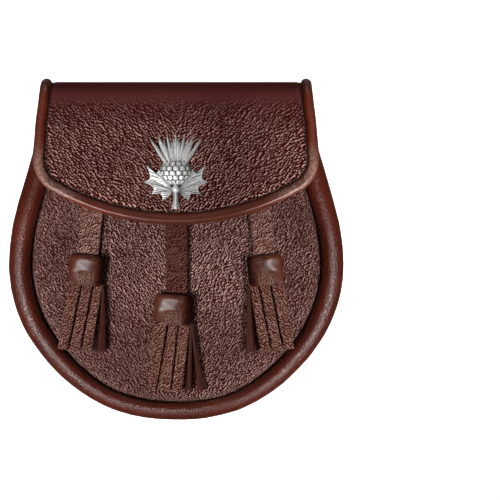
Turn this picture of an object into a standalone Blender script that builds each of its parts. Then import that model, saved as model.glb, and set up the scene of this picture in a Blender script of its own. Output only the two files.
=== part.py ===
"""A leather day sporran, the belt pouch worn with Highland dress, lying on its back.

Front up (+Z), fold of the flap at +Y, widest across X, lowest point of the back piping at z = 0.
All sizes are in metres.
"""

import math

import bmesh
import bpy
from mathutils import Matrix, Vector

GAP = 0.0003                      # clearance between neighbouring pieces
SEAM = 0.0008                     # clearance beside a piping, where a panel's edge leans towards it
LEATHER = 0.002                   # thickness of the panels, the gusset and the flap

# Silhouette of the pouch: half an ellipse below, an arc above it, then a straight taper to the mouth.
HALF_WIDTH = 0.095
WIDEST_Y = -0.0068
LOWER_DROP = 0.0897
SHOULDER_RADIUS = 0.0862
SHOULDER_ANGLE = math.radians(16.2)
LOWER_STEPS = 18
SHOULDER_STEPS = 4
TAPER_STEPS = 6
MOUTH_Y = 0.078

# Back: a piping that is flat where it rests, and a back panel that is hollowed for the rings.
PIPING_INSET = 0.0015
PIPING_WIDTH = 0.0072
PIPING_HEIGHT = 0.0070
PIPING_FLAT = 0.0034              # width of the flat that it rests on
PIPING_SHOULDERS = (-0.35, 0.4)   # heights of its widest corners, as shares of half its height
PIPING_END_Y = 0.076
BACK_EDGE_Z = 0.0036
BACK_Z = 0.0058                   # outer face of the back panel
BACK_RAMP = 0.009                 # how far in from its edge the panel reaches that height
BACK_RAMP_STEPS = 3

# Front: a fat roll round a raised panel.
RIM_Z = 0.0260
RIM_END_Y = 0.082
RIM_RADIUS_TABLE = (              # angle round the silhouette in degrees (-90 is the bottom), radius
    (-90, 0.0049),
    (-65, 0.0050),
    (-45, 0.0057),
    (-15, 0.0063),
    (90, 0.0064),
)
FRONT_EDGE_Z = 0.0242
FRONT_Z = 0.0300                  # outer face of the front panel
FRONT_RAMP = 0.0095               # how far in from its edge the panel reaches that height
FRONT_RAMP_STEPS = 5
PANEL_SHRINKS = (0.6, 0.25)       # inner rings of a panel, shrunk towards the middle of the mouth

# Gusset, the wall between back and front.
GUSSET_TABLE = (                  # share of the height from piping to rim, inset from the silhouette
    (0.00, 0.0050),
    (0.35, 0.0030),
    (0.70, 0.0030),
    (1.00, 0.0058),
)

# Flap: taper, rounded lower corners, one shallow arc between them, and the fold over the top.
FLAP_HALF_WIDTH = 0.0818
FLAP_TAPER = 0.107                # how much narrower per metre of height above the corners
FLAP_CORNER_Y = 0.0509
FLAP_CORNER_RADIUS = 0.021
FLAP_CORNER_TURN = math.radians(60)
FLAP_BOTTOM_Y = 0.0136
FLAP_BOTTOM_RADIUS = 0.140
FLAP_Z = 0.0360                   # middle of the leather in front
FLAP_TAIL_Z = 0.0045              # middle of the leather behind
FOLD_Y = 0.0795                   # where the fold leaves the front plane
FOLD_REACH = 0.01395
FLAP_PIPING_RADIUS = 0.0031
FLAP_LIP = 0.0005                 # how far the silhouette passes the piping
TAIL_END_Y = 0.064
TAIL_TABLE = (                    # share of the way from the fold to the tail's end, half width
    (0.00, 0.055),
    (0.30, 0.054),
    (0.85, 0.053),
    (1.00, 0.048),
)
CORNER_STEPS = 4
BOTTOM_STEPS = 8                  # in each half of the bottom arc
SIDE_STEPS = 5
FOLD_STEPS = 10
PIPING_TAIL_TURN = math.radians(172)   # how far round the fold the piping goes

# Tassels, each a strap, a rolled head and a fringe of strips.
STRAP_WIDTH = 0.0125
STRAP_THICKNESS = 0.0017
STRAP_TOP_Y = 0.045
STRAP_CLEAR = 0.0009              # between a strap's end and its tassel's head
TASSEL_TABLE = (                  # name, side, x and y of the head's top, tilt in degrees, strap x, lift
    ("left", 1, -0.0498, -0.0034, -5.5, -0.0498, 0.0018),
    ("center", 1, -0.0006, -0.0256, -3.4, 0.0006, 0.0002),
    ("right", -1, 0.0498, -0.0034, 5.5, 0.0498, 0.0018),
)
HEAD_TABLE = (                    # distance below the head's top, half width, height
    (0.0000, 0.0089, 0.0068),
    (0.0012, 0.0096, 0.0082),
    (0.0090, 0.0098, 0.0086),
    (0.0150, 0.0101, 0.0076),
    (0.0175, 0.0103, 0.0066),
)
HEAD_SIDES = 16
HEAD_SQUARENESS = 2.8             # exponent of the head's rounded section
HEAD_FLAT = 0.06                  # share of the head's height that is flattened beneath
STRIP_START = 0.0150
STRIP_END = 0.0545
STRIP_SLIT = 0.0003               # taken off each side of a strip
STRIP_CLEAR = 0.0002              # how far a strip starts above the head's underside
STRIP_FALL = 0.0018               # how much thinner a strip is at its end
STRIP_TABLE = (                   # left and right edge at the head, left and right edge at the end, height
    (-0.0100, -0.0030, -0.0127, -0.0063, 0.0046),
    (-0.0030, 0.0038, -0.0063, 0.0010, 0.0051),
    (0.0038, 0.0092, 0.0010, 0.0078, 0.0048),
    (0.0088, 0.0102, 0.0092, 0.0124, 0.0037),
)

# Badge, a cast thistle in the middle of the flap.
BADGE_Y = 0.0440
BULB_HALF_WIDTH = 0.0088
BULB_HALF_HEIGHT = 0.0080
BULB_RELIEF = 0.0042
BULB_BACK = 0.0002                # how far the bulb's flat back lies behind its widest line
BULB_SIDES = 20
BULB_RINGS = 10
LEAF_THICKNESS = 0.0014
TUFT_THICKNESS = 0.0022
STEM_THICKNESS = 0.0019
TUFT_BASE_Y = 0.0040
TUFT_HALF_BASE = 0.0052
TUFT_SPIKES = 7
TUFT_SPREAD = math.radians(33)                  # lean of the outermost spike
TUFT_TIP = 0.0176
TUFT_NOTCH = 0.0130
TUFT_ROOT_Y = 0.0010
STEM_OUTLINE = ((-0.0016, 0.0), (-0.0013, -0.0120), (-0.0024, -0.0212), (0.0024, -0.0212),
                (0.0013, -0.0120), (0.0016, 0.0))
LEAF_OUTLINE = (                                # x, y up the right leaf's edge, tip by tip
    (0.0000, -0.0125),
    (0.0040, -0.0128),
    (0.0075, -0.0170),
    (0.0088, -0.0122),
    (0.0140, -0.0132),
    (0.0128, -0.0088),
    (0.0183, -0.0062),
    (0.0150, -0.0034),
    (0.0170, 0.0036),
    (0.0118, -0.0006),
    (0.0096, 0.0008),
    (0.0092, -0.0048),
    (0.0048, -0.0070),
    (0.0000, -0.0098),
)

# Press stud between the flap and the front panel.
STUD_RADIUS = 0.006
STUD_Y = 0.058
STUD_SIDES = 16

# Rings behind, for the belt chain, and the leather tabs that hold them.
RING_X = 0.045
RING_Y = 0.038                    # lower edge of the ring's bar
RING_HALF_WIDTH = 0.012
RING_SHANK = 0.004
RING_WIRE = 0.0022
RING_THICKNESS = 0.0020
RING_STEPS = 12
RING_Z = 0.0030                   # middle of the ring
TAB_WIDTH = 0.0165
TAB_LEATHER = 0.0013
TAB_LENGTH = 0.017
TAB_ROUND = 0.0010                # how far the tab's fold is cut back at its outer corner
TAB_TAPER = 0.0050                # length over which its two plies come together

COLLECTION = "sporran_pouch"
CUTTERS = "helpers"


def clear_scene():
    for obj in list(bpy.data.objects):
        bpy.data.objects.remove(obj, do_unlink=True)


def new_collection(name):
    collection = bpy.data.collections.new(name)
    bpy.context.scene.collection.children.link(collection)
    return collection


def principled(name, color, roughness, metallic=0.0):
    material = bpy.data.materials.new(name)
    material.use_nodes = True
    shader = material.node_tree.nodes["Principled BSDF"]
    shader.inputs["Base Color"].default_value = (*color, 1.0)
    shader.inputs["Roughness"].default_value = roughness
    shader.inputs["Metallic"].default_value = metallic
    return material


def add_object(name, data, collection, material=None):
    obj = bpy.data.objects.new(name, data)
    collection.objects.link(obj)
    if material is not None:
        data.materials.append(material)
    return obj


def mesh_object(name, bm, collection, material=None, smooth_angle=50):
    bmesh.ops.recalc_face_normals(bm, faces=bm.faces)
    mesh = bpy.data.meshes.new(name)
    bm.to_mesh(mesh)
    bm.free()
    mesh.shade_smooth()
    mesh.set_sharp_from_angle(angle=math.radians(smooth_angle))
    return add_object(name, mesh, collection, material)


def interpolate(table, value):
    """Reads the second column of a table at a value of its first."""
    for (x0, y0), (x1, y1) in zip(table, table[1:]):
        if value <= x1:
            return y0 + (y1 - y0) * (value - x0) / (x1 - x0)
    return table[-1][1]


def smooth_rise(share):
    """(reach, height) shares of a rise that starts and ends level."""
    return share, share * share * (3.0 - 2.0 * share)


def round_rise(share):
    """(reach, height) shares of a rise round a quarter circle, steep at its start."""
    turn = share * math.pi / 2
    return 1.0 - math.cos(turn), math.sin(turn)


def side_stations(top):
    """Stations up the right side of the silhouette, from the bottom to the height top.

    Each is (point, outward vector, angle). On the straight taper the vector is level and longer, so that
    a point pushed inwards keeps its height.
    """
    stations = []
    for i in range(LOWER_STEPS):
        angle = math.radians(-90 + 90 * i / LOWER_STEPS)
        point = Vector((HALF_WIDTH * math.cos(angle), WIDEST_Y + LOWER_DROP * math.sin(angle)))
        outward = Vector((math.cos(angle) / HALF_WIDTH, math.sin(angle) / LOWER_DROP)).normalized()
        stations.append((point, outward, math.degrees(angle)))
    center = Vector((HALF_WIDTH - SHOULDER_RADIUS, WIDEST_Y))
    for i in range(SHOULDER_STEPS + 1):
        angle = SHOULDER_ANGLE * i / SHOULDER_STEPS
        outward = Vector((math.cos(angle), math.sin(angle)))
        stations.append((center + SHOULDER_RADIUS * outward, outward, math.degrees(angle)))
    start = stations[-1][0]
    level = Vector((1.0 / math.cos(SHOULDER_ANGLE), 0.0))
    for i in range(1, TAPER_STEPS + 1):
        rise = (top - start.y) * i / TAPER_STEPS
        point = start + Vector((-math.tan(SHOULDER_ANGLE) * rise, rise))
        stations.append((point, level, math.degrees(SHOULDER_ANGLE)))
    return stations


def outline(top, inset):
    """The silhouette from the mouth's left end round the bottom to its right end, pushed inwards.

    inset is a distance, or a function of the station's angle in degrees.
    """
    depth = inset if callable(inset) else lambda angle: inset
    right = [point - outward * depth(angle) for point, outward, angle in side_stations(top)]
    left = [Vector((-point.x, point.y)) for point in reversed(right[1:])]
    return left + right


def outline_angles(top):
    right = [angle for point, outward, angle in side_stations(top)]
    return list(reversed(right[1:])) + right


def rim_radius(angle):
    return interpolate(RIM_RADIUS_TABLE, angle)


def grid_faces(bm, rows):
    """Joins rows of vertices of equal length with quads."""
    for lower, upper in zip(rows, rows[1:]):
        for i in range(len(lower) - 1):
            bm.faces.new((lower[i], lower[i + 1], upper[i + 1], upper[i]))


def add_shell(obj, thickness, offset):
    shell = obj.modifiers.new("Thickness", "SOLIDIFY")
    shell.thickness = thickness
    shell.offset = offset
    shell.use_even_offset = True
    return shell


def tube(name, points, radii, collection, material, twist="Z_UP"):
    """A round tube of changing radius along a list of 3D points."""
    curve = bpy.data.curves.new(name, "CURVE")
    curve.dimensions = "3D"
    curve.bevel_depth = 1.0
    curve.bevel_resolution = 2
    curve.use_fill_caps = True
    curve.twist_mode = twist
    spline = curve.splines.new("POLY")
    spline.points.add(len(points) - 1)
    for node, point, radius in zip(spline.points, points, radii):
        node.co = (*point, 1.0)
        node.radius = radius
    return add_object(name, curve, collection, material)


def flat_curve(name, outlines, thickness, collection, material=None):
    """A plate in the XY plane, z = -thickness/2 to thickness/2. A second outline is a hole."""
    curve = bpy.data.curves.new(name, "CURVE")
    curve.dimensions = "2D"
    curve.fill_mode = "BOTH"
    curve.extrude = thickness / 2
    for points in outlines:
        spline = curve.splines.new("POLY")
        spline.points.add(len(points) - 1)
        for node, (x, y) in zip(spline.points, points):
            node.co = (x, y, 0.0, 1.0)
        spline.use_cyclic_u = True
    return add_object(name, curve, collection, material)


def to_mesh_object(obj):
    """Replaces a curve by a welded mesh of the same shape."""
    graph = bpy.context.evaluated_depsgraph_get()
    mesh = bpy.data.meshes.new_from_object(obj.evaluated_get(graph))
    bm = bmesh.new()
    bm.from_mesh(mesh)
    bmesh.ops.remove_doubles(bm, verts=bm.verts, dist=1e-6)
    bmesh.ops.recalc_face_normals(bm, faces=bm.faces)
    bm.to_mesh(mesh)
    bm.free()
    name = obj.name
    matrix = obj.matrix_world.copy()
    collection = obj.users_collection[0]
    bpy.data.objects.remove(obj, do_unlink=True)
    solid = bpy.data.objects.new(name, mesh)
    solid.matrix_world = matrix
    collection.objects.link(solid)
    return solid


def as_helper(obj):
    obj.hide_render = True
    obj.display_type = "WIRE"
    return obj


def unite(target, others):
    for other in others:
        as_helper(other)
        union = target.modifiers.new("Join " + other.name, "BOOLEAN")
        union.operation = "UNION"
        union.solver = "EXACT"
        union.object = other


def panel(name, rings, thickness, offset, collection, material):
    """A shell from rings of (points, height), outermost first, closed towards the middle of the mouth."""
    bm = bmesh.new()
    rows = []
    for points, height in rings:
        rows.append([bm.verts.new((point.x, point.y, height)) for point in points])
    grid_faces(bm, rows)
    hub = bm.verts.new((0.0, MOUTH_Y, rings[-1][1]))
    last = rows[-1]
    for a, b in zip(last, last[1:]):
        bm.faces.new((a, b, hub))
    obj = mesh_object(name, bm, collection, material)
    add_shell(obj, thickness, offset)
    return obj


def panel_rings(edge_inset, edge_z, middle_z, ramp, ramp_steps, rise):
    """Rings that climb from edge_z to middle_z over the ramp, then shrink towards the mouth's middle."""
    rings = []
    for i in range(ramp_steps + 1):
        reach, height = rise(i / ramp_steps)

        def inset(angle, reach=reach):
            return edge_inset(angle) + ramp * reach

        rings.append((outline(MOUTH_Y, inset), edge_z + (middle_z - edge_z) * height))
    inner = rings[-1][0]
    hub = Vector((0.0, MOUTH_Y))
    for shrink in PANEL_SHRINKS:
        rings.append(([hub + (point - hub) * shrink for point in inner], middle_z))
    return rings


def make_back_panel(collection, material):
    def edge(angle):
        return PIPING_INSET + PIPING_WIDTH + SEAM

    rings = panel_rings(edge, BACK_EDGE_Z, BACK_Z, BACK_RAMP, BACK_RAMP_STEPS, smooth_rise)
    return panel("back_panel", rings, LEATHER, 1.0, collection, material)


def make_front_panel(collection, material):
    def edge(angle):
        return 2 * rim_radius(angle) + GAP

    rings = panel_rings(edge, FRONT_EDGE_Z, FRONT_Z, FRONT_RAMP, FRONT_RAMP_STEPS, round_rise)
    return panel("front_panel", rings, LEATHER, -1.0, collection, material)


def make_front_rim(collection, material):
    radii = [rim_radius(angle) for angle in outline_angles(RIM_END_Y)]
    points = [(point.x, point.y, RIM_Z) for point in outline(RIM_END_Y, rim_radius)]
    return tube("front_rim", points, radii, collection, material)


def make_back_piping(collection, helpers, material):
    half_width = PIPING_WIDTH / 2
    half_height = PIPING_HEIGHT / 2
    half_flat = PIPING_FLAT / 2
    low, high = [half_height * share for share in PIPING_SHOULDERS]
    left = [(-half_flat, -half_height), (-half_width, low), (-half_width, high), (-half_flat, half_height)]
    section = left + [(-x, y) for x, y in reversed(left)]
    profile = as_helper(flat_curve("back_piping_section", [section], 0.0, helpers))
    profile.data.fill_mode = "NONE"
    center = PIPING_INSET + half_width
    curve = bpy.data.curves.new("back_piping", "CURVE")
    curve.dimensions = "3D"
    curve.twist_mode = "Z_UP"
    curve.bevel_mode = "OBJECT"
    curve.bevel_object = profile
    curve.use_fill_caps = True
    points = outline(PIPING_END_Y, center)
    spline = curve.splines.new("POLY")
    spline.points.add(len(points) - 1)
    for node, point in zip(spline.points, points):
        node.co = (point.x, point.y, half_height, 1.0)
    return add_object("back_piping", curve, collection, material)


def make_gusset(collection, material):
    bottom = PIPING_HEIGHT + SEAM
    angles = outline_angles(MOUTH_Y)
    tops = [RIM_Z - rim_radius(angle) - SEAM for angle in angles]
    bm = bmesh.new()
    rows = []
    for share, inset in GUSSET_TABLE:
        points = outline(MOUTH_Y, inset)
        rows.append([bm.verts.new((point.x, point.y, bottom + (top - bottom) * share))
                     for point, top in zip(points, tops)])
    grid_faces(bm, rows)
    obj = mesh_object("gusset", bm, collection, material)
    add_shell(obj, LEATHER, 0.0).use_even_offset = False
    return obj


def flap_half_width(y):
    return FLAP_HALF_WIDTH - FLAP_TAPER * max(y - FLAP_CORNER_Y, 0.0)


def flap_lower_edge(inset):
    """The flap's lower edge, from its middle to the right corner's upper end."""
    points = []
    wide_center = Vector((0.0, FLAP_BOTTOM_Y + FLAP_BOTTOM_RADIUS))
    wide_radius = FLAP_BOTTOM_RADIUS - inset
    corner_center = Vector((FLAP_HALF_WIDTH - FLAP_CORNER_RADIUS, FLAP_CORNER_Y))
    corner_radius = FLAP_CORNER_RADIUS - inset
    corner_start = corner_center.x + corner_radius * math.cos(FLAP_CORNER_TURN)
    sweep = math.asin(corner_start / wide_radius)
    for i in range(BOTTOM_STEPS):
        angle = sweep * i / BOTTOM_STEPS
        points.append(wide_center + wide_radius * Vector((math.sin(angle), -math.cos(angle))))
    for i in range(CORNER_STEPS + 1):
        angle = -FLAP_CORNER_TURN * (1 - i / CORNER_STEPS)
        points.append(corner_center + corner_radius * Vector((math.cos(angle), math.sin(angle))))
    return points


def fold_point(turn):
    """(y, z) of the leather's middle after a turn round the fold, 0 in front to pi behind."""
    middle = (FLAP_Z + FLAP_TAIL_Z) / 2
    rise = (FLAP_Z - FLAP_TAIL_Z) / 2
    return FOLD_Y + FOLD_REACH * math.sin(turn), middle + rise * math.cos(turn)


def make_flap(collection, material):
    inset = FLAP_LIP + 2 * FLAP_PIPING_RADIUS + GAP
    right = flap_lower_edge(inset)
    lower = [Vector((-point.x, point.y)) for point in reversed(right[1:])] + right
    full = FLAP_HALF_WIDTH - inset
    bm = bmesh.new()
    rows = []

    def add_row(points):
        rows.append([bm.verts.new(point) for point in points])

    front_share = (flap_half_width(FOLD_Y) - inset) / full
    for i in range(SIDE_STEPS + 1):
        share = i / SIDE_STEPS
        scale = 1 + (front_share - 1) * share
        add_row([(point.x * scale, point.y + (FOLD_Y - point.y) * share, FLAP_Z) for point in lower])
    widest_y = FOLD_Y
    for i in range(1, FOLD_STEPS):
        y, z = fold_point(math.pi * i / FOLD_STEPS)
        widest_y = max(widest_y, y)
        width = flap_half_width(widest_y) - inset
        add_row([(point.x * width / full, y, z) for point in lower])
    for share, width in TAIL_TABLE:
        y = FOLD_Y + (TAIL_END_Y - FOLD_Y) * share
        add_row([(point.x * width / full, y, FLAP_TAIL_Z) for point in lower])
    grid_faces(bm, rows)
    obj = mesh_object("flap", bm, collection, material)
    add_shell(obj, LEATHER, 0.0)
    return obj


def make_flap_piping(collection, material):
    inset = FLAP_LIP + FLAP_PIPING_RADIUS
    path = [(point.x, point.y, FLAP_Z) for point in flap_lower_edge(inset)]
    start_y = path[-1][1]
    for i in range(1, SIDE_STEPS):
        y = start_y + (FOLD_Y - start_y) * i / (SIDE_STEPS - 1)
        path.append((flap_half_width(y) - inset, y, FLAP_Z))
    for i in range(1, FOLD_STEPS + 1):
        y, z = fold_point(PIPING_TAIL_TURN * i / FOLD_STEPS)
        path.append((flap_half_width(max(y, path[-1][1])) - inset, y, z))
    points = [(-x, y, z) for x, y, z in reversed(path[1:])] + path
    radii = [FLAP_PIPING_RADIUS] * len(points)
    return tube("flap_piping", points, radii, collection, material, "MINIMUM")


def strip_box(name, near, far, side, collection):
    """A cube whose ends along Y are set to (y, left, right, low, high)."""
    bm = bmesh.new()
    bmesh.ops.create_cube(bm, size=2.0)
    for vert in bm.verts:
        y, left, right, low, high = near if vert.co.y > 0 else far
        vert.co = (side * (right if vert.co.x > 0 else left), y, high if vert.co.z > 0 else low)
    return mesh_object(name, bm, collection)


def head_section(half_width, height):
    """A rounded section, flat where it lies on the front panel."""
    points = []
    for i in range(HEAD_SIDES):
        angle = 2 * math.pi * i / HEAD_SIDES
        cos, sin = math.cos(angle), math.sin(angle)
        x = math.copysign(abs(cos) ** (2 / HEAD_SQUARENESS), cos) * half_width
        z = (1 + math.copysign(abs(sin) ** (2 / HEAD_SQUARENESS), sin)) * height / 2
        points.append((x, max(z, height * HEAD_FLAT)))
    return points


def make_head(name, side, base, collection, material):
    bm = bmesh.new()
    rings = []
    for drop, half_width, height in HEAD_TABLE:
        low = base - height * HEAD_FLAT
        rings.append([bm.verts.new((side * x, -drop, low + z)) for x, z in head_section(half_width, height)])
    for upper, lower in zip(rings, rings[1:]):
        for i in range(HEAD_SIDES):
            j = (i + 1) % HEAD_SIDES
            bm.faces.new((upper[i], upper[j], lower[j], lower[i]))
    bm.faces.new(rings[0])
    bm.faces.new(rings[-1])
    return mesh_object(name, bm, collection, material)


def make_tassels(collection, helpers, material):
    base = FRONT_Z + GAP
    for name, side, x, y, tilt, strap_x, lift in TASSEL_TABLE:
        head = make_head("tassel_" + name, side, base, collection, material)
        strips = []
        for number, (left, right, end_left, end_right, height) in enumerate(STRIP_TABLE, 1):
            near = (-STRIP_START, left + STRIP_SLIT, right - STRIP_SLIT, base + STRIP_CLEAR, base + height)
            far = (-STRIP_END, end_left + STRIP_SLIT, end_right - STRIP_SLIT, base + lift,
                   base + lift + height - STRIP_FALL)
            strips.append(strip_box(f"strip_{name}_{number}", near, far, side, helpers))
        unite(head, strips)
        for obj in [head] + strips:
            obj.location = (x, y, 0.0)
            obj.rotation_euler = (0.0, 0.0, math.radians(tilt))
        lean = 0.0 if name == "center" else math.radians(tilt)
        length = (STRAP_TOP_Y - y) / math.cos(lean)
        near = (length, -STRAP_WIDTH / 2, STRAP_WIDTH / 2, base, base + STRAP_THICKNESS)
        far = (STRAP_CLEAR, -STRAP_WIDTH / 2, STRAP_WIDTH / 2, base, base + STRAP_THICKNESS)
        strap = strip_box("tassel_strap_" + name, near, far, 1, collection)
        strap.data.materials.append(material)
        strap.location = (strap_x, y, 0.0)
        strap.rotation_euler = (0.0, 0.0, lean)


def tuft_outline():
    """A brush of spikes that lean further out from the middle to the sides."""
    points = []
    for i in range(2 * TUFT_SPIKES - 1):
        share = i / (2 * TUFT_SPIKES - 2)
        lean = TUFT_SPREAD * (1 - 2 * share)
        reach = TUFT_TIP if i % 2 == 0 else TUFT_NOTCH
        root = TUFT_HALF_BASE * (1 - 2 * share)
        points.append((root + reach * math.sin(lean), TUFT_BASE_Y + reach * math.cos(lean)))
    return [(-TUFT_HALF_BASE, TUFT_ROOT_Y), (TUFT_HALF_BASE, TUFT_ROOT_Y)] + points


def make_badge(collection, helpers, material):
    base = FLAP_Z + LEATHER / 2 + GAP
    bm = bmesh.new()
    bmesh.ops.create_uvsphere(bm, u_segments=BULB_SIDES, v_segments=BULB_RINGS, radius=1.0)
    for vert in bm.verts:
        vert.co.x *= BULB_HALF_WIDTH
        vert.co.y *= BULB_HALF_HEIGHT
        vert.co.z = max(vert.co.z * BULB_RELIEF, -BULB_BACK)
    bulb = mesh_object("badge", bm, collection, material)
    mirrored_leaf = [(-x, y) for x, y in reversed(LEAF_OUTLINE)]
    plates = (
        ("badge_tuft", tuft_outline(), TUFT_THICKNESS),
        ("badge_stem", STEM_OUTLINE, STEM_THICKNESS),
        ("badge_leaves", list(LEAF_OUTLINE) + mirrored_leaf[1:-1], LEAF_THICKNESS),
    )
    parts = []
    for name, points, thickness in plates:
        plate = flat_curve(name, [points], thickness, helpers)
        plate.location = (0.0, BADGE_Y, base + thickness / 2)
        bpy.context.view_layer.update()
        parts.append(to_mesh_object(plate))
    bulb.location = (0.0, BADGE_Y, base + 1.5 * BULB_BACK)
    unite(bulb, parts)
    return bulb


def make_stud(collection, material):
    low = FRONT_Z + GAP
    high = FLAP_Z - LEATHER / 2 - GAP
    bm = bmesh.new()
    place = Matrix.Translation((0.0, STUD_Y, (low + high) / 2))
    bmesh.ops.create_cone(bm, cap_ends=True, segments=STUD_SIDES, radius1=STUD_RADIUS, radius2=STUD_RADIUS,
                          depth=high - low, matrix=place)
    return mesh_object("snap_stud", bm, collection, material)


def ring_outline(shrink):
    """A D: a straight bar below, short shanks and a half circle above."""
    half_width = RING_HALF_WIDTH - shrink
    points = [(half_width, shrink), (half_width, RING_SHANK)]
    for i in range(1, RING_STEPS):
        angle = math.pi * i / RING_STEPS
        points.append((half_width * math.cos(angle), RING_SHANK + half_width * math.sin(angle)))
    return points + [(-half_width, RING_SHANK), (-half_width, shrink)]


def tab_outlines():
    """Section of a tab, x across its thickness and y along it, and the slot for the ring's bar."""
    low = RING_Z - RING_THICKNESS / 2 - GAP - TAB_LEATHER
    high = BACK_Z - GAP
    slot_low = RING_Z - RING_THICKNESS / 2 - GAP
    slot_high = RING_Z + RING_THICKNESS / 2 + GAP
    slot_bottom = RING_Y - GAP
    slot_top = RING_Y + RING_WIRE + GAP
    top = slot_top + TAB_LEATHER
    end = top - TAB_LENGTH
    two_plies = high - 2 * TAB_LEATHER
    outer = [(low + TAB_ROUND, top), (high, top), (high, end), (two_plies, end),
             (two_plies, slot_bottom - TAB_TAPER), (low, slot_bottom), (low, top - TAB_ROUND)]
    slot = [(slot_low, slot_bottom), (slot_low, slot_top), (slot_high, slot_top), (slot_high, slot_bottom)]
    return [outer, slot]


def make_rings_and_tabs(collection, tab_material, ring_material):
    for name, side in (("left", -1), ("right", 1)):
        outlines = [ring_outline(0.0), ring_outline(RING_WIRE)]
        ring = flat_curve("d_ring_" + name, outlines, RING_THICKNESS, collection, ring_material)
        ring.location = (side * RING_X, RING_Y, RING_Z)
        tab = flat_curve("ring_tab_" + name, tab_outlines(), TAB_WIDTH, collection, tab_material)
        # The section's x becomes world Z, its y stays, and the plate's thickness runs along X.
        tab.matrix_world = Matrix(((0, 0, -1, side * RING_X), (0, 1, 0, 0), (1, 0, 0, 0), (0, 0, 0, 1)))


def main():
    clear_scene()
    collection = new_collection(COLLECTION)
    helpers = new_collection(CUTTERS)
    grained = principled("grained_leather", (0.095, 0.036, 0.028), 0.42)
    smooth = principled("smooth_leather", (0.080, 0.020, 0.012), 0.33)
    tassel = principled("tassel_leather", (0.092, 0.032, 0.022), 0.36)
    silver = principled("antique_silver", (0.62, 0.62, 0.60), 0.30, 1.0)
    steel = principled("plated_steel", (0.70, 0.70, 0.70), 0.25, 1.0)
    make_back_panel(collection, smooth)
    make_back_piping(collection, helpers, smooth)
    make_gusset(collection, smooth)
    make_front_rim(collection, smooth)
    make_front_panel(collection, grained)
    make_flap(collection, grained)
    make_flap_piping(collection, smooth)
    make_tassels(collection, helpers, tassel)
    make_badge(collection, helpers, silver)
    make_stud(collection, steel)
    make_rings_and_tabs(collection, smooth, steel)


main()
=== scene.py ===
"""A leather day sporran, dressed for its picture.

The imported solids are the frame. Each one is replaced here by finely modelled leather, cast metal or thread
in the same place. All sizes are in metres, in the solids' own frame: front up (+Z), fold of the flap at +Y.
"""

import math

import bmesh
import bpy
import numpy as np
from mathutils import Matrix, Vector, noise


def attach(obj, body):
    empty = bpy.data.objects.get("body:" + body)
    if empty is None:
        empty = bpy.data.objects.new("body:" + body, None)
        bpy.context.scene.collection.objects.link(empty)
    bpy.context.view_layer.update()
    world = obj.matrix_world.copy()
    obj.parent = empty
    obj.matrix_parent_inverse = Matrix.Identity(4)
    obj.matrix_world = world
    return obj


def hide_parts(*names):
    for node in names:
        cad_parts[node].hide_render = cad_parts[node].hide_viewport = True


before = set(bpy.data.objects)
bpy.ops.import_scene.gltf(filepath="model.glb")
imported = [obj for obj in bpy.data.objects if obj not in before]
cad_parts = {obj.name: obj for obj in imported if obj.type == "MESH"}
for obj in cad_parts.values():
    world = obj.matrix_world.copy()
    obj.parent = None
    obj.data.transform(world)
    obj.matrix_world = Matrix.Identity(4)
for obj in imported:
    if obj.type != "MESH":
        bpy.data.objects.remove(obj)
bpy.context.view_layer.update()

UP = Vector((0.0, 0.0, 1.0))

# Silhouette of the pouch, as in the solids.
HALF_WIDTH = 0.095
WIDEST_Y = -0.0068
LOWER_DROP = 0.0897
SHOULDER_RADIUS = 0.0862
SHOULDER_ANGLE = math.radians(16.2)
# How much fuller than its two arcs the leather stands, by angle, and the same up the shoulders.
FULLNESS_TABLE = ((-90, 0.00045), (-80, 0.0009), (-68, 0.00135), (-60, 0.00095), (-53, 0.0006), (-44, 0.0001),
                  (-34, 0.0001), (-27, 0.00035), (-17, 0.0005), (-8, 0.0003), (0, 0.0001))
SHOULDER_FULLNESS = 0.0008
MOUTH_Y = 0.078
LOWER_STEPS = 90
SHOULDER_STEPS = 12
TAPER_STEPS = 30

# Rolls round the front and the back.
RIM_Z = 0.0260
RIM_END_Y = 0.082
RIM_RADIUS_TABLE = ((-90, 0.0049), (-65, 0.0050), (-45, 0.0057), (-15, 0.0063), (90, 0.0064))
RIM_LEAN = 0.17
BACK_ROLL_INSET = 0.0051
BACK_ROLL_RADIUS = 0.0035
BACK_ROLL_END_Y = 0.076

# Panels and the gusset between them.
CREASE_GAP = 0.0003
LEATHER = 0.002
FRONT_EDGE_Z = 0.0234
FRONT_Z = 0.0300
FRONT_RAMP = 0.0072
BACK_EDGE_INSET = 0.0095
BACK_EDGE_Z = 0.0036
BACK_Z = 0.0058
BACK_RAMP = 0.009
GUSSET_TABLE = ((0.00, 0.0050), (0.35, 0.0030), (0.70, 0.0030), (1.00, 0.0058))
GUSSET_LOW_Z = 0.0078
GUSSET_CLEAR = 0.0008

# Flap.
FLAP_HALF_WIDTH = 0.0813
FLAP_TAPER = 0.089
FLAP_CORNER_Y = 0.0509
FLAP_CORNER_RADIUS = 0.021
FLAP_CORNER_TURN = math.radians(60)
FLAP_BOTTOM_Y = 0.0136
FLAP_BOTTOM_RADIUS = 0.140
FLAP_Z = 0.0360
FLAP_TAIL_Z = 0.0045
FOLD_Y = 0.0795
FOLD_REACH = 0.0145
FOLD_RISE = (FLAP_Z - FLAP_TAIL_Z) / 2
FOLD_SQUARENESS = 2.7
FLAP_ROLL_RADIUS = 0.0031
FLAP_LIP = 0.0005
TAIL_END_Y = 0.064
TAIL_TABLE = ((0.00, 0.055), (0.30, 0.054), (0.85, 0.053), (1.00, 0.048))
ROLL_TAIL_TURN = math.radians(172)

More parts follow.
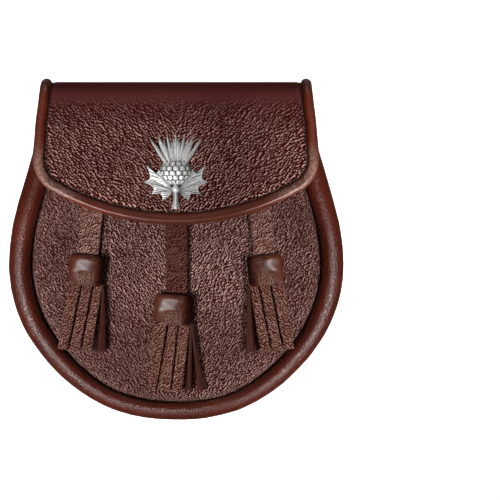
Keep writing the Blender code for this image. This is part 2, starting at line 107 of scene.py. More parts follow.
# Tassels: x and y of the head's top, tilt in degrees, strap's x, how far the strips are lifted at their ends.
PANEL_TOP = 0.0303
STRAP_TOP_Y = 0.045
STRAP_WIDTH = 0.0125
STRAP_THICKNESS = 0.0017
TASSEL_TABLE = (
    ("left", 1, -0.0498, -0.0034, -5.5, -0.0498, 0.0018),
    ("center", 1, -0.0009, -0.0256, -3.4, 0.0006, 0.0002),
    ("right", -1, 0.0498, -0.0034, 5.5, 0.0498, 0.0018),
)
# Heads: drop from the top, half width, height.
HEAD_TABLE = (
    (0.0000, 0.0084, 0.0056),
    (0.0003, 0.0091, 0.0072),
    (0.0008, 0.0096, 0.0081),
    (0.0018, 0.0100, 0.0087),
    (0.0026, 0.0101, 0.0088),
    (0.0050, 0.0101, 0.0085),
    (0.0076, 0.0100, 0.0081),
    (0.0096, 0.0100, 0.0078),
    (0.0110, 0.0100, 0.0072),
    (0.0130, 0.0101, 0.0062),
    (0.0158, 0.0101, 0.0050),
    (0.0172, 0.0101, 0.0045),
)
HEAD_CREST = 0.0010
HEAD_SLOPE = 0.08

# Badge.
BADGE_Y = 0.0440
BADGE_Z = 0.0373


# ---------------------------------------------------------------- lines and meshes


def table_value(table, value):
    """Reads the second column of a table at a value of its first."""
    return float(np.interp(value, [row[0] for row in table], [row[1] for row in table]))


def smooth_table(table, value, reach):
    """Reads a table as table_value does, but rounds its corners off over the given reach."""
    return sum(table_value(table, value + reach * k / 3) for k in range(-3, 4)) / 7


def evenly(rows, spacing):
    """Rows of numbers that start with x, y, z, interpolated to an even spacing along their line."""
    rows = np.array(rows, float)
    steps = np.linalg.norm(np.diff(rows[:, :3], axis=0), axis=1)
    along = np.concatenate([[0.0], np.cumsum(steps)])
    wanted = np.linspace(0.0, along[-1], max(3, round(along[-1] / spacing) + 1))
    return np.stack([np.interp(wanted, along, column) for column in rows.T], axis=1)


def uneven(point, size, seed=0.0):
    """A smooth random value from about -1 to 1, with lumps of the given size."""
    return noise.noise(Vector(point) / size + Vector((seed, -seed, 0.7 * seed)))


def smooth_step(low, high, value):
    share = min(max((value - low) / (high - low), 0.0), 1.0)
    return share * share * (3.0 - 2.0 * share)


def bell(value, middle, width):
    """A bell-shaped rise: 1 at its middle."""
    return math.exp(-((value - middle) / width) ** 2)


def leaning_up(angle):
    """The upward direction, leaning to +X by an angle."""
    return Vector((math.sin(angle), 0.0, math.cos(angle)))


def build_mesh(name, verts, faces, lay=None):
    """A mesh with outward normals. lay holds each vertex's place in the leather before it was bent."""
    mesh = bpy.data.meshes.new(name)
    mesh.from_pydata([tuple(v) for v in verts], [], faces)
    bm = bmesh.new()
    bm.from_mesh(mesh)
    bmesh.ops.recalc_face_normals(bm, faces=bm.faces)
    bm.to_mesh(mesh)
    bm.free()
    if lay is not None:
        attribute = mesh.attributes.new("lay", "FLOAT_VECTOR", "POINT")
        attribute.data.foreach_set("vector", np.array(lay, np.float32).ravel())
    return mesh


def add_object(name, data):
    made = bpy.data.objects.new(name, data)
    bpy.context.scene.collection.objects.link(made)
    return made


def add_piece(name, part, material, slot, *nodes, smooth_angle=60):
    """Makes a piece of (vertices, faces, lay) that stands for the named solids."""
    mesh = build_mesh(name, *part)
    mesh.shade_smooth()
    mesh.set_sharp_from_angle(angle=math.radians(smooth_angle))
    mesh.materials.append(material)
    piece = add_object(name, mesh)
    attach(piece, "root")
    for solid in nodes:
        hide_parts(solid)
    return piece


def skin(rows, closed, caps=True):
    """Faces over rows of equal length. closed joins each row's ends, caps fills the first and last row."""
    width = len(rows[0])
    faces = []
    for r in range(len(rows) - 1):
        for i in range(width if closed else width - 1):
            j = (i + 1) % width
            faces.append((r * width + i, r * width + j, (r + 1) * width + j, (r + 1) * width + i))
    if closed and caps:
        faces.append(tuple(range(width)))
        faces.append(tuple(range((len(rows) - 1) * width, len(rows) * width)))
    return faces


def sweep(line, ups, section, closed_line=False, flat=False):
    """(vertices, faces, lay) of closed sections set along a line.

    section(i) lists (sideways, upwards) offsets. Sideways is to the right of the way the line runs, seen from
    above. ups gives the upward direction, one for all points or one for each. The lay is the skin rolled out
    sideways from the top, so that a pattern runs over a band's edges or round a roll.
    """
    line = [Vector(point) for point in line]
    last = len(line) - 1
    verts = []
    lay = []
    rows = []
    travelled = 0.0
    for i, point in enumerate(line):
        ahead = line[(i + 1) % len(line)] if closed_line else line[min(i + 1, last)]
        behind = line[i - 1] if closed_line else line[max(i - 1, 0)]
        along = (ahead - behind).normalized()
        side = along.cross(ups if isinstance(ups, Vector) else ups[i]).normalized()
        up = side.cross(along)
        if i:
            travelled += (point - line[i - 1]).length
        ring = section(i)
        top = max(b for a, b in ring)
        half = max(a for a, b in ring)
        rows.append(ring)
        for a, b in ring:
            verts.append(point + side * a + up * b)
            across = a * (1 + (top - b) / half) if flat else math.atan2(a, b) * math.hypot(a, b)
            lay.append((travelled, across, 0.0))
    if not closed_line:
        return verts, skin(rows, True), lay
    faces = skin(rows + rows[:1], True, caps=False)
    return verts, [tuple(i % len(verts) for i in face) for face in faces], lay


def round_section(sides, radius):
    turns = [2 * math.pi * k / sides for k in range(sides)]
    return [(radius * math.cos(turn), radius * math.sin(turn)) for turn in turns]


def rounded_bar(width, thickness, rounding, dome=0.0, flat_steps=6):
    """A closed section: a bar with rounded edges, its middle raised by dome, standing on height 0."""
    corner_steps = 3
    points = []
    half = width / 2
    corners = ((half - rounding, thickness - rounding, 0), (-half + rounding, thickness - rounding, 1),
               (-half + rounding, rounding, 2), (half - rounding, rounding, 3))
    for x, z, quarter in corners:
        for k in range(corner_steps + 1):
            turn = math.pi / 2 * (quarter + k / corner_steps)
            points.append((x + rounding * math.cos(turn), z + rounding * math.sin(turn)))
        if quarter in (0, 2):
            step = -2 * x / flat_steps
            height = thickness if quarter == 0 else 0.0
            points += [(x + step * k, height) for k in range(1, flat_steps)]
    return [(x, z + (dome * (1 - (x / half) ** 2) if z > thickness / 2 else 0.0)) for x, z in points]


def joined(parts):
    """One (vertices, faces, lay) out of several."""
    verts, faces, lay = [], [], []
    for part_verts, part_faces, part_lay in parts:
        start = len(verts)
        verts += part_verts
        lay += part_lay
        faces += [tuple(start + i for i in face) for face in part_faces]
    return verts, faces, lay


# Along a stitch: how far, its thickness and its height, as shares of its length and of the thread's radius.
STITCH_TABLE = ((-0.5, 0.25, -0.55), (-0.42, 0.75, -0.2), (-0.2, 1.0, 0.25),
                (0.2, 1.0, 0.25), (0.42, 0.75, -0.2), (0.5, 0.25, -0.55))


def thread_stitches(line, ups, pitch, length, radius, lift):
    """Short rounded stitches laid along a line, a pitch apart, with an upward direction for each point."""
    rows = evenly([(*point, *up) for point, up in zip(line, ups)], pitch)
    stitches = []
    for k in range(1, len(rows) - 1):
        center = Vector(rows[k][:3])
        up = Vector(rows[k][3:6]).normalized()
        along = Vector(rows[k + 1][:3] - rows[k - 1][:3]).normalized()
        spots = [center + along * share * length + up * (lift + radius * drop)
                 for share, size, drop in STITCH_TABLE]
        stitches.append(sweep(spots, up, lambda i: round_section(8, STITCH_TABLE[i][1] * radius)))
    return joined(stitches)


# ---------------------------------------------------------------- silhouette


def side_stations(top):
    """(point, outward, angle in degrees) up the right side of the silhouette, from the bottom to top."""
    stations = []
    for i in range(LOWER_STEPS):
        angle = math.radians(-90 + 90 * i / LOWER_STEPS)
        point = Vector((HALF_WIDTH * math.cos(angle), WIDEST_Y + LOWER_DROP * math.sin(angle)))
        outward = Vector((math.cos(angle) / HALF_WIDTH, math.sin(angle) / LOWER_DROP)).normalized()
        stations.append((point, outward, math.degrees(angle)))
    center = Vector((HALF_WIDTH - SHOULDER_RADIUS, WIDEST_Y))
    for i in range(SHOULDER_STEPS + 1):
        angle = SHOULDER_ANGLE * i / SHOULDER_STEPS
        outward = Vector((math.cos(angle), math.sin(angle)))
        stations.append((center + SHOULDER_RADIUS * outward, outward, math.degrees(angle)))
    start = stations[-1][0]
    level = Vector((1.0 / math.cos(SHOULDER_ANGLE), 0.0))
    for i in range(1, TAPER_STEPS + 1):
        rise = (top - start.y) * i / TAPER_STEPS
        point = start + Vector((-math.tan(SHOULDER_ANGLE) * rise, rise))
        stations.append((point, level, math.degrees(SHOULDER_ANGLE)))
    return stations


def outline(top, inset):
    """[(point, angle)] round the silhouette from the mouth's left end to its right end, pushed inwards."""
    depth = inset if callable(inset) else lambda angle: inset
    right = []
    for point, outward, angle in side_stations(top):
        full = smooth_table(FULLNESS_TABLE, angle, 3) if angle < 0 else 0.0
        full += SHOULDER_FULLNESS * smooth_step(0.006, 0.026, point.y)
        reach = full - depth(angle)
        shift_x = outward.x * reach * min(1.0, point.x / 0.002)
        right.append((point + Vector((shift_x, outward.y * reach)), angle))
    left = [(Vector((-point.x, point.y)), angle) for point, angle in reversed(right[1:])]
    return left + right


def rim_radius(angle):
    return table_value(RIM_RADIUS_TABLE, angle)


# ---------------------------------------------------------------- rolls


def end_taper(i, count, radius, spacing):
    """Share of its radius that a roll keeps near its ends, so that it closes in a round end."""
    reach = min(i, count - 1 - i) * spacing / radius
    if reach >= 1.0:
        return 1.0
    return max(math.sqrt(1 - (1 - reach) ** 2), 0.12)


def make_roll(name, rows, spacing, sides, ring_point, ups, material, node):
    """A roll along rows of x, y, z and radius. ring_point(row, place, turn, taper) gives its section."""

    def section(i):
        taper = end_taper(i, len(rows), rows[i][3], spacing)
        turns = [2 * math.pi * k / sides for k in range(sides)]
        return [ring_point(rows[i], i * spacing, turn, taper) for turn in turns]

    return add_piece(name, sweep(rows[:, :3], ups, section), material, "smooth_leather", node)


def make_front_roll(material):
    spacing = 0.0009
    rows = evenly([(point.x, point.y, RIM_Z, rim_radius(angle), angle)
                   for point, angle in outline(RIM_END_Y, rim_radius)], spacing)

    def ring_point(row, place, turn, taper):
        low = smooth_step(-10, -70, row[4])
        size = row[3] * taper
        inner = max(0.0, math.cos(turn - math.radians(150)))
        gather = uneven((place, 0.0016 * turn, 0.0), 0.0021, 3.0)
        swell = 0.00016 * uneven(Vector(row[:3]) + Vector((0, 0, 0.004 * turn)), 0.011)
        pinch = 0.00010 * gather * (0.35 + inner + 0.5 * low)
        reach = size + (swell + pinch) * (size / row[3])
        lean = -RIM_LEAN * math.cos(turn) * max(math.sin(turn), 0.0)
        return reach * math.cos(turn), reach * (math.sin(turn) + lean)

    make_roll("front_roll", rows, spacing, 40, ring_point, UP, material, "front_rim")


def make_back_roll(material):
    spacing = 0.0012
    squareness = 0.86
    rows = evenly([(point.x, point.y, BACK_ROLL_RADIUS, BACK_ROLL_RADIUS)
                   for point, angle in outline(BACK_ROLL_END_Y, BACK_ROLL_INSET)], spacing)

    def ring_point(row, place, turn, taper):
        a = math.copysign(abs(math.cos(turn)) ** squareness, math.cos(turn)) * (BACK_ROLL_RADIUS + 0.0001)
        b = math.copysign(abs(math.sin(turn)) ** squareness, math.sin(turn)) * BACK_ROLL_RADIUS
        pinch = 1 + 0.02 * uneven((place, 0.002 * turn, 0.0), 0.0024, 5.0) * (b > -0.002)
        return a * taper * pinch, b * taper * min(pinch, 1.0)

    make_roll("back_roll", rows, spacing, 28, ring_point, UP, material, "back_piping")


# ---------------------------------------------------------------- panels and gusset


def panel_part(edge, rings, layers, bend):
    """(vertices, faces, lay) of a leather panel closed towards the mouth's middle in so many layers.

    edge(angle) is the inset of its edge. rings are (reach, height): how far in from the edge, and how high.
    bend moves the finished points. The lay is the panel rolled out flat round its middle.
    """
    rows = []
    lay_rows = []
    flat_reaches = [rings[-1][0]]
    for inner, outer in zip(reversed(rings), reversed(rings[:-1])):
        flat_reaches.insert(0, flat_reaches[0] - math.dist(inner, outer))
    for (reach, height), flat_reach in zip(rings, flat_reaches):
        rows.append([Vector((point.x, point.y, height))
                     for point, angle in outline(MOUTH_Y, lambda angle: edge(angle) + reach)])
        lay_rows.append([Vector((point.x, point.y, 0.0))
                         for point, angle in outline(MOUTH_Y, lambda angle: edge(angle) + flat_reach)])
    hub = Vector((0.0, MOUTH_Y, rings[-1][1]))
    flat_hub = Vector((0.0, MOUTH_Y, 0.0))
    last = rows[-1]
    flat_last = lay_rows[-1]
    for k in range(1, layers):
        shrink = 1 - k / layers
        rows.append([hub + (point - hub) * shrink for point in last])
        lay_rows.append([flat_hub + (point - flat_hub) * shrink for point in flat_last])
    verts = [bend(point) for row in rows for point in row] + [bend(hub)]
    lay = [point for row in lay_rows for point in row] + [flat_hub]
    faces = skin(rows, False)
    width = len(last)
    start = (len(rows) - 1) * width
    faces += [(start + i, start + i + 1, len(verts) - 1) for i in range(width - 1)]
    return verts, faces, lay


def add_thickness(piece, offset, even=True):
    shell = piece.modifiers.new("Thickness", "SOLIDIFY")
    shell.thickness = LEATHER
    shell.offset = offset
    shell.use_even_offset = even


def make_front_leather(material):
    steps = 16
    rings = [(-0.0015, FRONT_EDGE_Z - 0.0026)]
    for i in range(steps + 1):
        turn = math.pi / 2 * i / steps
        rings.append((FRONT_RAMP * (1 - math.cos(turn)),
                      FRONT_EDGE_Z + (FRONT_Z - FRONT_EDGE_Z) * math.sin(turn)))

    def edge(angle):
        return 2 * rim_radius(angle) + CREASE_GAP

    def bend(point):
        share = smooth_step(FRONT_Z - 0.003, FRONT_Z, point.z)
        return point + UP * (0.00016 * share * uneven(point, 0.030, 2.0) - 0.00008 * share)

    part = panel_part(edge, rings, 44, bend)
    add_thickness(add_piece("front_leather", part, material, "grained_leather", "front_panel"), -1.0)


def make_back_leather(material):
    steps = 10
    rings = [(BACK_RAMP * i / steps, BACK_EDGE_Z + (BACK_Z - BACK_EDGE_Z) * smooth_step(0, 1, i / steps))
             for i in range(steps + 1)]

    def bend(point):
        share = smooth_step(BACK_EDGE_Z, BACK_Z, point.z)
        return point + UP * 0.00012 * share * uneven(point, 0.022, 8.0)

    part = panel_part(lambda angle: BACK_EDGE_INSET, rings, 24, bend)
    add_thickness(add_piece("back_leather", part, material, "smooth_leather", "back_panel"), 1.0)


def make_gusset_leather(material):
    steps = 16
    rows = []
    for i in range(steps + 1):
        share = i / steps
        sag = math.sin(math.pi * share)
        row = []
        travelled = 0.0
        before = None
        for point, angle in outline(MOUTH_Y, table_value(GUSSET_TABLE, share)):
            travelled += (point - before).length if before is not None else 0.0
            before = point
            top = RIM_Z - rim_radius(angle) - GUSSET_CLEAR
            height = GUSSET_LOW_Z + (top - GUSSET_LOW_Z) * share
            outward = Vector((point.x, point.y - WIDEST_Y, 0.0)).normalized()
            crease = uneven((travelled, share * 0.004, 0.0), 0.006, 4.0)
            row.append(Vector((point.x, point.y, height)) + outward * (0.0009 * sag + 0.0003 * sag * crease))
        rows.append(row)
    part = ([point for row in rows for point in row], skin(rows, False))
    add_thickness(add_piece("gusset_leather", part, material, "smooth_leather", "gusset"), 0.0, even=False)


# ---------------------------------------------------------------- flap


def flap_half_width(y):
    return FLAP_HALF_WIDTH - FLAP_TAPER * max(y - FLAP_CORNER_Y, 0.0) + 0.00045 * bell(y, 0.071, 0.008)


def flap_lower_edge(inset, bottom_steps, corner_steps):
    """The flap's lower edge, from its middle to the right corner's upper end."""
    points = []
    wide_center = Vector((0.0, FLAP_BOTTOM_Y + FLAP_BOTTOM_RADIUS))
    wide_radius = FLAP_BOTTOM_RADIUS - inset
    corner_center = Vector((FLAP_HALF_WIDTH - FLAP_CORNER_RADIUS, FLAP_CORNER_Y))
    corner_radius = FLAP_CORNER_RADIUS - inset
    corner_start = corner_center.x + corner_radius * math.cos(FLAP_CORNER_TURN)
    sweep_angle = math.asin(corner_start / wide_radius)
    for i in range(bottom_steps):
        angle = sweep_angle * i / bottom_steps
        points.append(wide_center + wide_radius * Vector((math.sin(angle), -math.cos(angle))))
    for i in range(corner_steps + 1):
        angle = -FLAP_CORNER_TURN * (1 - i / corner_steps)
        points.append(corner_center + corner_radius * Vector((math.cos(angle), math.sin(angle))))
    return points


def fold_point(turn):
    """(y, z) of the leather's middle after a turn round the fold, 0 in front to pi behind."""
    middle = (FLAP_Z + FLAP_TAIL_Z) / 2
    reach = max(math.sin(turn), 0.0) ** (2 / FOLD_SQUARENESS)
    height = math.copysign(abs(math.cos(turn)) ** (2 / FOLD_SQUARENESS), math.cos(turn))
    return FOLD_Y + FOLD_REACH * reach, middle + FOLD_RISE * height


def fold_normal(turn):
    power = 2 - 2 / FOLD_SQUARENESS
    across = max(math.sin(turn), 0.0) ** power / FOLD_REACH
    upward = math.copysign(abs(math.cos(turn)) ** power, math.cos(turn)) / FOLD_RISE
    return Vector((0.0, across, upward)).normalized()


def flap_edge_line(inset, spacing):
    """Rows of x, y, z and the leather's normal along the flap's edge, from left tail to right tail."""
    rows = [(point.x, point.y, FLAP_Z, *UP) for point in flap_lower_edge(inset, 60, 16)]
    start_y = rows[-1][1]
    for i in range(1, 20):
        y = start_y + (FOLD_Y - start_y) * i / 20
        rows.append((flap_half_width(y) - inset, y, FLAP_Z, *UP))
    steps = 240
    for i in range(steps + 1):
        turn = ROLL_TAIL_TURN * i / steps
        y, z = fold_point(turn)
        rows.append((flap_half_width(max(y, rows[-1][1])) - inset, y, z, *fold_normal(turn)))
    mirrored = [(-x, y, z, -a, b, c) for x, y, z, a, b, c in reversed(rows[1:])]
    return evenly(mirrored + rows, spacing)


def make_flap_roll(material):
    """The roll round the flap's edge, with the seam's lip along its outer side."""
    spacing = 0.0009
    line = flap_edge_line(FLAP_LIP + FLAP_ROLL_RADIUS, spacing)
    ups = [Vector(row[3:6]) for row in line]
    rows = np.column_stack([line[:, :3], np.full(len(line), FLAP_ROLL_RADIUS)])

    def ring_point(row, place, turn, taper):
        turn = math.remainder(turn, 2 * math.pi)
        y = row[1]
        front = smooth_step(0.075, 0.055, y)
        lip = 0.00062 * bell(turn, -0.30, 0.16) * (0.35 + 0.65 * front)
        dent = 0.00022 * bell(turn, 0.06, 0.12) * front
        gather = uneven((place, 0.0011 * turn, 0.0), 0.0017, 6.0)
        swell = 0.00010 * uneven(Vector(row[:3]) + Vector((0, 0, 0.003 * turn)), 0.008, 1.0)
        pinch = 0.00007 * gather * (0.5 + smooth_step(0.030, 0.015, y))
        reach = (FLAP_ROLL_RADIUS + lip - dent + swell + pinch) * taper
        lean = 0.46 * smooth_step(0.050, 0.034, y) * math.cos(turn) * max(math.sin(turn), 0.0)
        return reach * math.cos(turn), reach * (math.sin(turn) + lean)

    make_roll("flap_roll", rows, spacing, 48, ring_point, ups, material, "flap_piping")


def make_flap_leather(material):
    """The flap in one sheet: its front, the fold and the tail behind. The front dips into its seam."""
    inset = FLAP_LIP + 2 * FLAP_ROLL_RADIUS + CREASE_GAP - 0.0009
    right = flap_lower_edge(inset, 40, 14)
    lower = [Vector((-point.x, point.y)) for point in reversed(right[1:])] + right
    full = FLAP_HALF_WIDTH - inset
    # Rings that follow the edge inwards, so that the leather can dip into its seam.
    front_share = (flap_half_width(FOLD_Y) - inset) / full
    side_steps = 56
    rows = []
    for i in range(side_steps + 1):
        share = (i / side_steps) ** 1.35
        scale = 1 + (front_share - 1) * share
        rows.append([(point.x * scale, point.y + (FOLD_Y - point.y) * share, FLAP_Z, 0.0)
                     for point in lower])
    fold = evenly([(0.0, *fold_point(math.pi * i / 400)) for i in range(401)], 0.0016)
    travelled = 0.0
    normals = {0.0: UP}
    for before, (x, y, z) in zip(fold, fold[1:-1]):
        travelled += math.dist(before, (x, y, z))
        normals[travelled] = Vector((0.0, before[2] - z, y - before[1])).normalized()
        widest_y = y if z > FLAP_TAIL_Z + FOLD_RISE else FOLD_Y + FOLD_REACH
        width = flap_half_width(widest_y) - inset
        rows.append([(point.x * width / full, y, z, travelled) for point in lower])
    travelled += math.dist(fold[-2], fold[-1])
    for i in range(13):
        share = i / 12
        y = FOLD_Y + (TAIL_END_Y - FOLD_Y) * share
        width = table_value(TAIL_TABLE, share)
        rows.append([(point.x * width / full, y, FLAP_TAIL_Z, travelled + FOLD_Y - y) for point in lower])
    verts = []
    lay = []
    for row in rows:
        for x, y, z, folded in row:
            edge = distance_to_flap_edge(x, y, inset) if folded == 0.0 else row[-1][0] - abs(x)
            dip = 1 - smooth_step(0.0006, 0.0033, edge)
            puff = smooth_step(0.0, 0.0035, edge) * (1 - smooth_step(0.006, 0.022, edge))
            lift = 0.00018 * puff + 0.00012 * uneven((x, y, 0.0), 0.026, 9.0)
            lift *= (1 - smooth_step(0.070, FOLD_Y, y)) * (folded == 0.0)
            lift -= 0.0021 * dip * smooth_step(0.016, 0.026, z)
            verts.append(Vector((x, y, z)) + normals.get(folded, UP) * lift)
            lay.append((x, (FOLD_Y + folded) if folded else y, 0.0))
    piece = add_piece("flap_leather", (verts, skin(rows, False), lay), material, "grained_leather", "flap")
    add_thickness(piece, 0.0)


def distance_to_flap_edge(x, y, inset):
    """How far a point of the flap's front is from the leather's edge."""
    x = abs(x)
    side = flap_half_width(y) - inset - x
    bottom = FLAP_BOTTOM_RADIUS - inset - math.hypot(x, y - FLAP_BOTTOM_Y - FLAP_BOTTOM_RADIUS)
    corner_x = x - (FLAP_HALF_WIDTH - FLAP_CORNER_RADIUS)
    corner_y = y - FLAP_CORNER_Y
    if corner_x > 0 and corner_y < 0 and math.atan2(corner_x, -corner_y) > math.pi / 2 - FLAP_CORNER_TURN:
        return max(FLAP_CORNER_RADIUS - inset - math.hypot(corner_x, corner_y), 0.0)
    return max(min(side, bottom), 0.0)


def make_flap_stitches(material):
    rows = flap_edge_line(FLAP_LIP + 2 * FLAP_ROLL_RADIUS + 0.0006, 0.001)
    rows = [row for row in rows if row[2] > 0.026]
    line = [row[:3] for row in rows]
    ups = [row[3:6] for row in rows]
    part = thread_stitches(line, ups, 0.0024, 0.0014, 0.00030, 0.0007)
    add_piece("flap_stitches", part, material, "smooth_leather")


def make_tail_stitches(material):
    """The row that sews the flap's tail to the back, seen from behind."""
    half = 0.0465
    y = TAIL_END_Y + 0.0030
    z = FLAP_TAIL_Z - LEATHER / 2
    line = [Vector((-half + 2 * half * i / 30, y, z)) for i in range(31)]
    part = thread_stitches(line, [-UP] * len(line), 0.0034, 0.0025, 0.00035, 0.0001)
    add_piece("tail_stitches", part, material, "smooth_leather")


# ---------------------------------------------------------------- tassels


def tassel_place(x, y, tilt):
    return Matrix.Translation((x, y, 0.0)) @ Matrix.Rotation(math.radians(tilt), 4, "Z")


def make_strap(name, strap_x, y, tilt, material):
    lean = 0.0 if name == "center" else tilt
    place = tassel_place(strap_x, y, lean)
    length = (STRAP_TOP_Y - y) / math.cos(math.radians(lean))
    count = 60
    line = []
    for i in range(count + 1):
        share = i / count
        along = length * (1 - share) - 0.0012 * share
        hump = 0.0007 * bell(along, 0.0028, 0.0022)
        line.append(place @ Vector((0.00012 * uneven((along, 0, 0), 0.012, strap_x * 50), along,
                                    PANEL_TOP + 0.0008 + hump)))

    def section(i):
        pinch = 1 - 0.07 * smooth_step(count * 0.90, count, i)
        return rounded_bar(STRAP_WIDTH * pinch, STRAP_THICKNESS, 0.0005, dome=0.00022, flat_steps=10)

    up = leaning_up(math.radians(9.0) * (1 if name == "right" else -1))
    add_piece("strap_" + name, sweep(line, up, section, flat=True), material, "tassel_leather",
              "tassel_strap_" + name)


def make_head(name, side, place, material):
    """The leather wrapped round the strips' upper ends. Its crest lies nearer the pouch's middle."""
    count = 60
    sides = 56
    length = HEAD_TABLE[-1][0]
    drops = [length * (i / count) ** 1.25 for i in range(count + 1)]
    broader = 0.0011 if name == "center" else 0.0
    widths = [(row[0], row[1] + broader) for row in HEAD_TABLE]
    heights = [(row[0], row[2]) for row in HEAD_TABLE]

    def section(i):
        drop = drops[i]
        reach = 0.0008 * smooth_step(0.0, 0.0030, drop)
        half_width = smooth_table(widths, drop, reach)
        height = smooth_table(heights, drop, reach)
        ring = []
        for k in range(sides):
            turn = 2 * math.pi * k / sides
            cos, sin = math.cos(turn), math.sin(turn)
            crest = HEAD_CREST * side
            x = crest + (half_width - crest * math.copysign(1, cos)) * cos
            z = (1 + sin) * height / 2
            z *= 1 + HEAD_SLOPE * x * side / height
            dimple = bell(x * side, -0.0019, 0.0022) * bell(drop, 0.0108, 0.0016)
            swell = 0.00028 * uneven((x, drop, 0.0), 0.0045, 5 * side)
            ring.append((-x, max(z + (swell - 0.00036 * dimple) * (z > height / 2), 0.0)))
        return ring

    verts, faces, lay = sweep([Vector((0.0, -drop, PANEL_TOP)) for drop in drops], UP, section)
    # Both outer heads are laid alike: their second number grows towards the pouch's middle.
    part = ([place @ vert for vert in verts], faces, [(drop, -side * across, 0.0) for drop, across, _ in lay])
    add_piece("head_" + name, part, material, "tassel_leather", "tassel_" + name, smooth_angle=50)


# Strips of the fringe: left and right edge at the head, left and right edge at the end, height of the top at
# the head and at the end, roll in degrees.
SIDE_STRIPS = (
    (-0.0099, -0.0019, -0.0126, -0.0060, 0.0042, 0.0034, 3.0),
    (-0.0019, 0.0048, -0.0060, 0.0008, 0.0045, 0.0038, 0.0),
    (0.0048, 0.0102, 0.0008, 0.0078, 0.0041, 0.0035, -3.0),
)
CENTER_STRIPS = (
    (-0.0114, -0.0024, -0.0128, -0.0068, 0.0042, 0.0034, 3.0),
    (-0.0024, 0.0034, -0.0068, 0.0014, 0.0045, 0.0038, 0.0),
    (0.0034, 0.0104, 0.0014, 0.0082, 0.0041, 0.0035, -3.0),
)
UNDER_STRIPS = (
    (-0.0080, -0.0020, -0.0112, -0.0052, 0.0024, 0.0014, 0.0),
    (-0.0014, 0.0050, -0.0046, 0.0016, 0.0026, 0.0016, 0.0),
    (0.0050, 0.0086, 0.0022, 0.0066, 0.0024, 0.0014, 0.0),
)
# Strips turned on their edges: left and right edge at the head and at the end, height there, lean in degrees.
SIDE_TURNED = ((0.0090, 0.0103, 0.0098, 0.0140, 0.0040, 0.0036, 16.0),)
CENTER_TURNED = (
    (0.0092, 0.0104, 0.0098, 0.0124, 0.0040, 0.0034, 16.0),
    (0.0098, 0.0110, 0.0165, 0.0200, 0.0038, 0.0030, 18.0),
)
STRIP_SLIT = 0.0005
STRIP_START = 0.0162
STRIP_END = 0.0545
STRIP_THICKNESS = 0.0016
STRIP_STEPS = 40


def strip_middle(edges, share):
    left, right, end_left, end_right = edges[:4]
    return ((left + right) * (1 - share) + (end_left + end_right) * share) / 2


def strip_width(edges, share):
    left, right, end_left, end_right = edges[:4]
    return (right - left) * (1 - share) + (end_right - end_left) * share


def flat_strip(number, edges, lift, end_shift, seed):
    """A lying band of the fringe, in the tassel's own frame."""
    top, end_top, roll = edges[4:]
    finish = STRIP_END + end_shift + 0.0004 * math.sin(7.0 * number + seed)
    line = []
    ups = []
    for i in range(STRIP_STEPS + 1):
        share = i / STRIP_STEPS
        drop = STRIP_START + (finish - STRIP_START) * share
        middle = strip_middle(edges, share) + 0.00012 * uneven((drop, number, seed), 0.012)
        height = top + (end_top - top) * share ** 0.8 + lift * share
        height += 0.00025 * uneven((drop, 3 * number, seed), 0.014) * share
        line.append(Vector((middle, -drop, PANEL_TOP + height - STRIP_THICKNESS)))
        ups.append(leaning_up(math.radians(roll * share)))

    def section(i):
        width = strip_width(edges, i / STRIP_STEPS) - 2 * STRIP_SLIT
        return rounded_bar(width, STRIP_THICKNESS, 0.0004, dome=0.00012)

    verts, faces, lay = sweep(line, ups, section, flat=True)
    cut_from = (0.070 * number + 0.3 * seed, 0.013 * number)
    return verts, faces, [(along + cut_from[0], across + cut_from[1], 0.0) for along, across, _ in lay]


def turned_strip(edges, lift, seed):
    """A band of the fringe that has turned on its edge and shows its smooth side."""
    top, end_top, lean = edges[4:]
    line = []
    ups = []
    for i in range(STRIP_STEPS + 1):
        share = i / STRIP_STEPS
        drop = STRIP_START + (STRIP_END - 0.0006 - STRIP_START) * share
        middle = strip_middle(edges, share) + 0.0003 * math.sin(3.0 * share + seed)
        line.append(Vector((middle, -drop, PANEL_TOP + 0.0003 + 0.0006 * share)))
        ups.append(leaning_up(math.radians(lean * (0.4 + 0.6 * share))))

    def section(i):
        share = i / STRIP_STEPS
        height = top + (end_top + lift - top) * share
        return rounded_bar(max(strip_width(edges, share), 0.0011), height, 0.00045)

    return sweep(line, ups, section, flat=True)


def make_fringe(name, side, place, lift, grained, smooth):
    middle = name == "center"
    seed = 1.7 if middle else 0.3
    lying = [flat_strip(number, edges, lift, 0.0, seed)
             for number, edges in enumerate(CENTER_STRIPS if middle else SIDE_STRIPS)]
    lying += [flat_strip(number, edges, lift, -0.0012, seed + 2) for number, edges in enumerate(UNDER_STRIPS)]
    turned = [turned_strip(edges, lift, seed + number)
              for number, edges in enumerate(CENTER_TURNED if middle else SIDE_TURNED)]
    for label, strips, material in (("fringe_", lying, grained), ("fringe_turned_", turned, smooth)):
        verts, faces, lay = joined(strips)
        placed = [place @ Vector((side * vert.x, vert.y, vert.z)) for vert in verts]
        add_piece(label + name, (placed, faces, lay), material, "tassel_leather", "tassel_" + name,
                  smooth_angle=50)


# ---------------------------------------------------------------- badge


# A leaf's lobes: the notch before each, its tip and the notch after it, for the leaf on the right.
LEAF_LOBES = (
    ((0.0038, -0.0126), (0.0075, -0.0170), (0.0088, -0.0124)),
    ((0.0088, -0.0124), (0.0140, -0.0133), (0.0126, -0.0090)),
    ((0.0126, -0.0090), (0.0183, -0.0062), (0.0146, -0.0038)),
    ((0.0146, -0.0038), (0.0170, 0.0036), (0.0114, -0.0014)),
    ((0.0114, -0.0014), (0.0096, 0.0008), (0.0068, -0.0052)),
)
BULB_HALF_WIDTH = 0.0088
BULB_HALF_HEIGHT = 0.0080
BULB_RELIEF = 0.0042
TUFT_BASE_Y = 0.0040
TUFT_HALF_BASE = 0.0052
TUFT_SPREAD = math.radians(33)
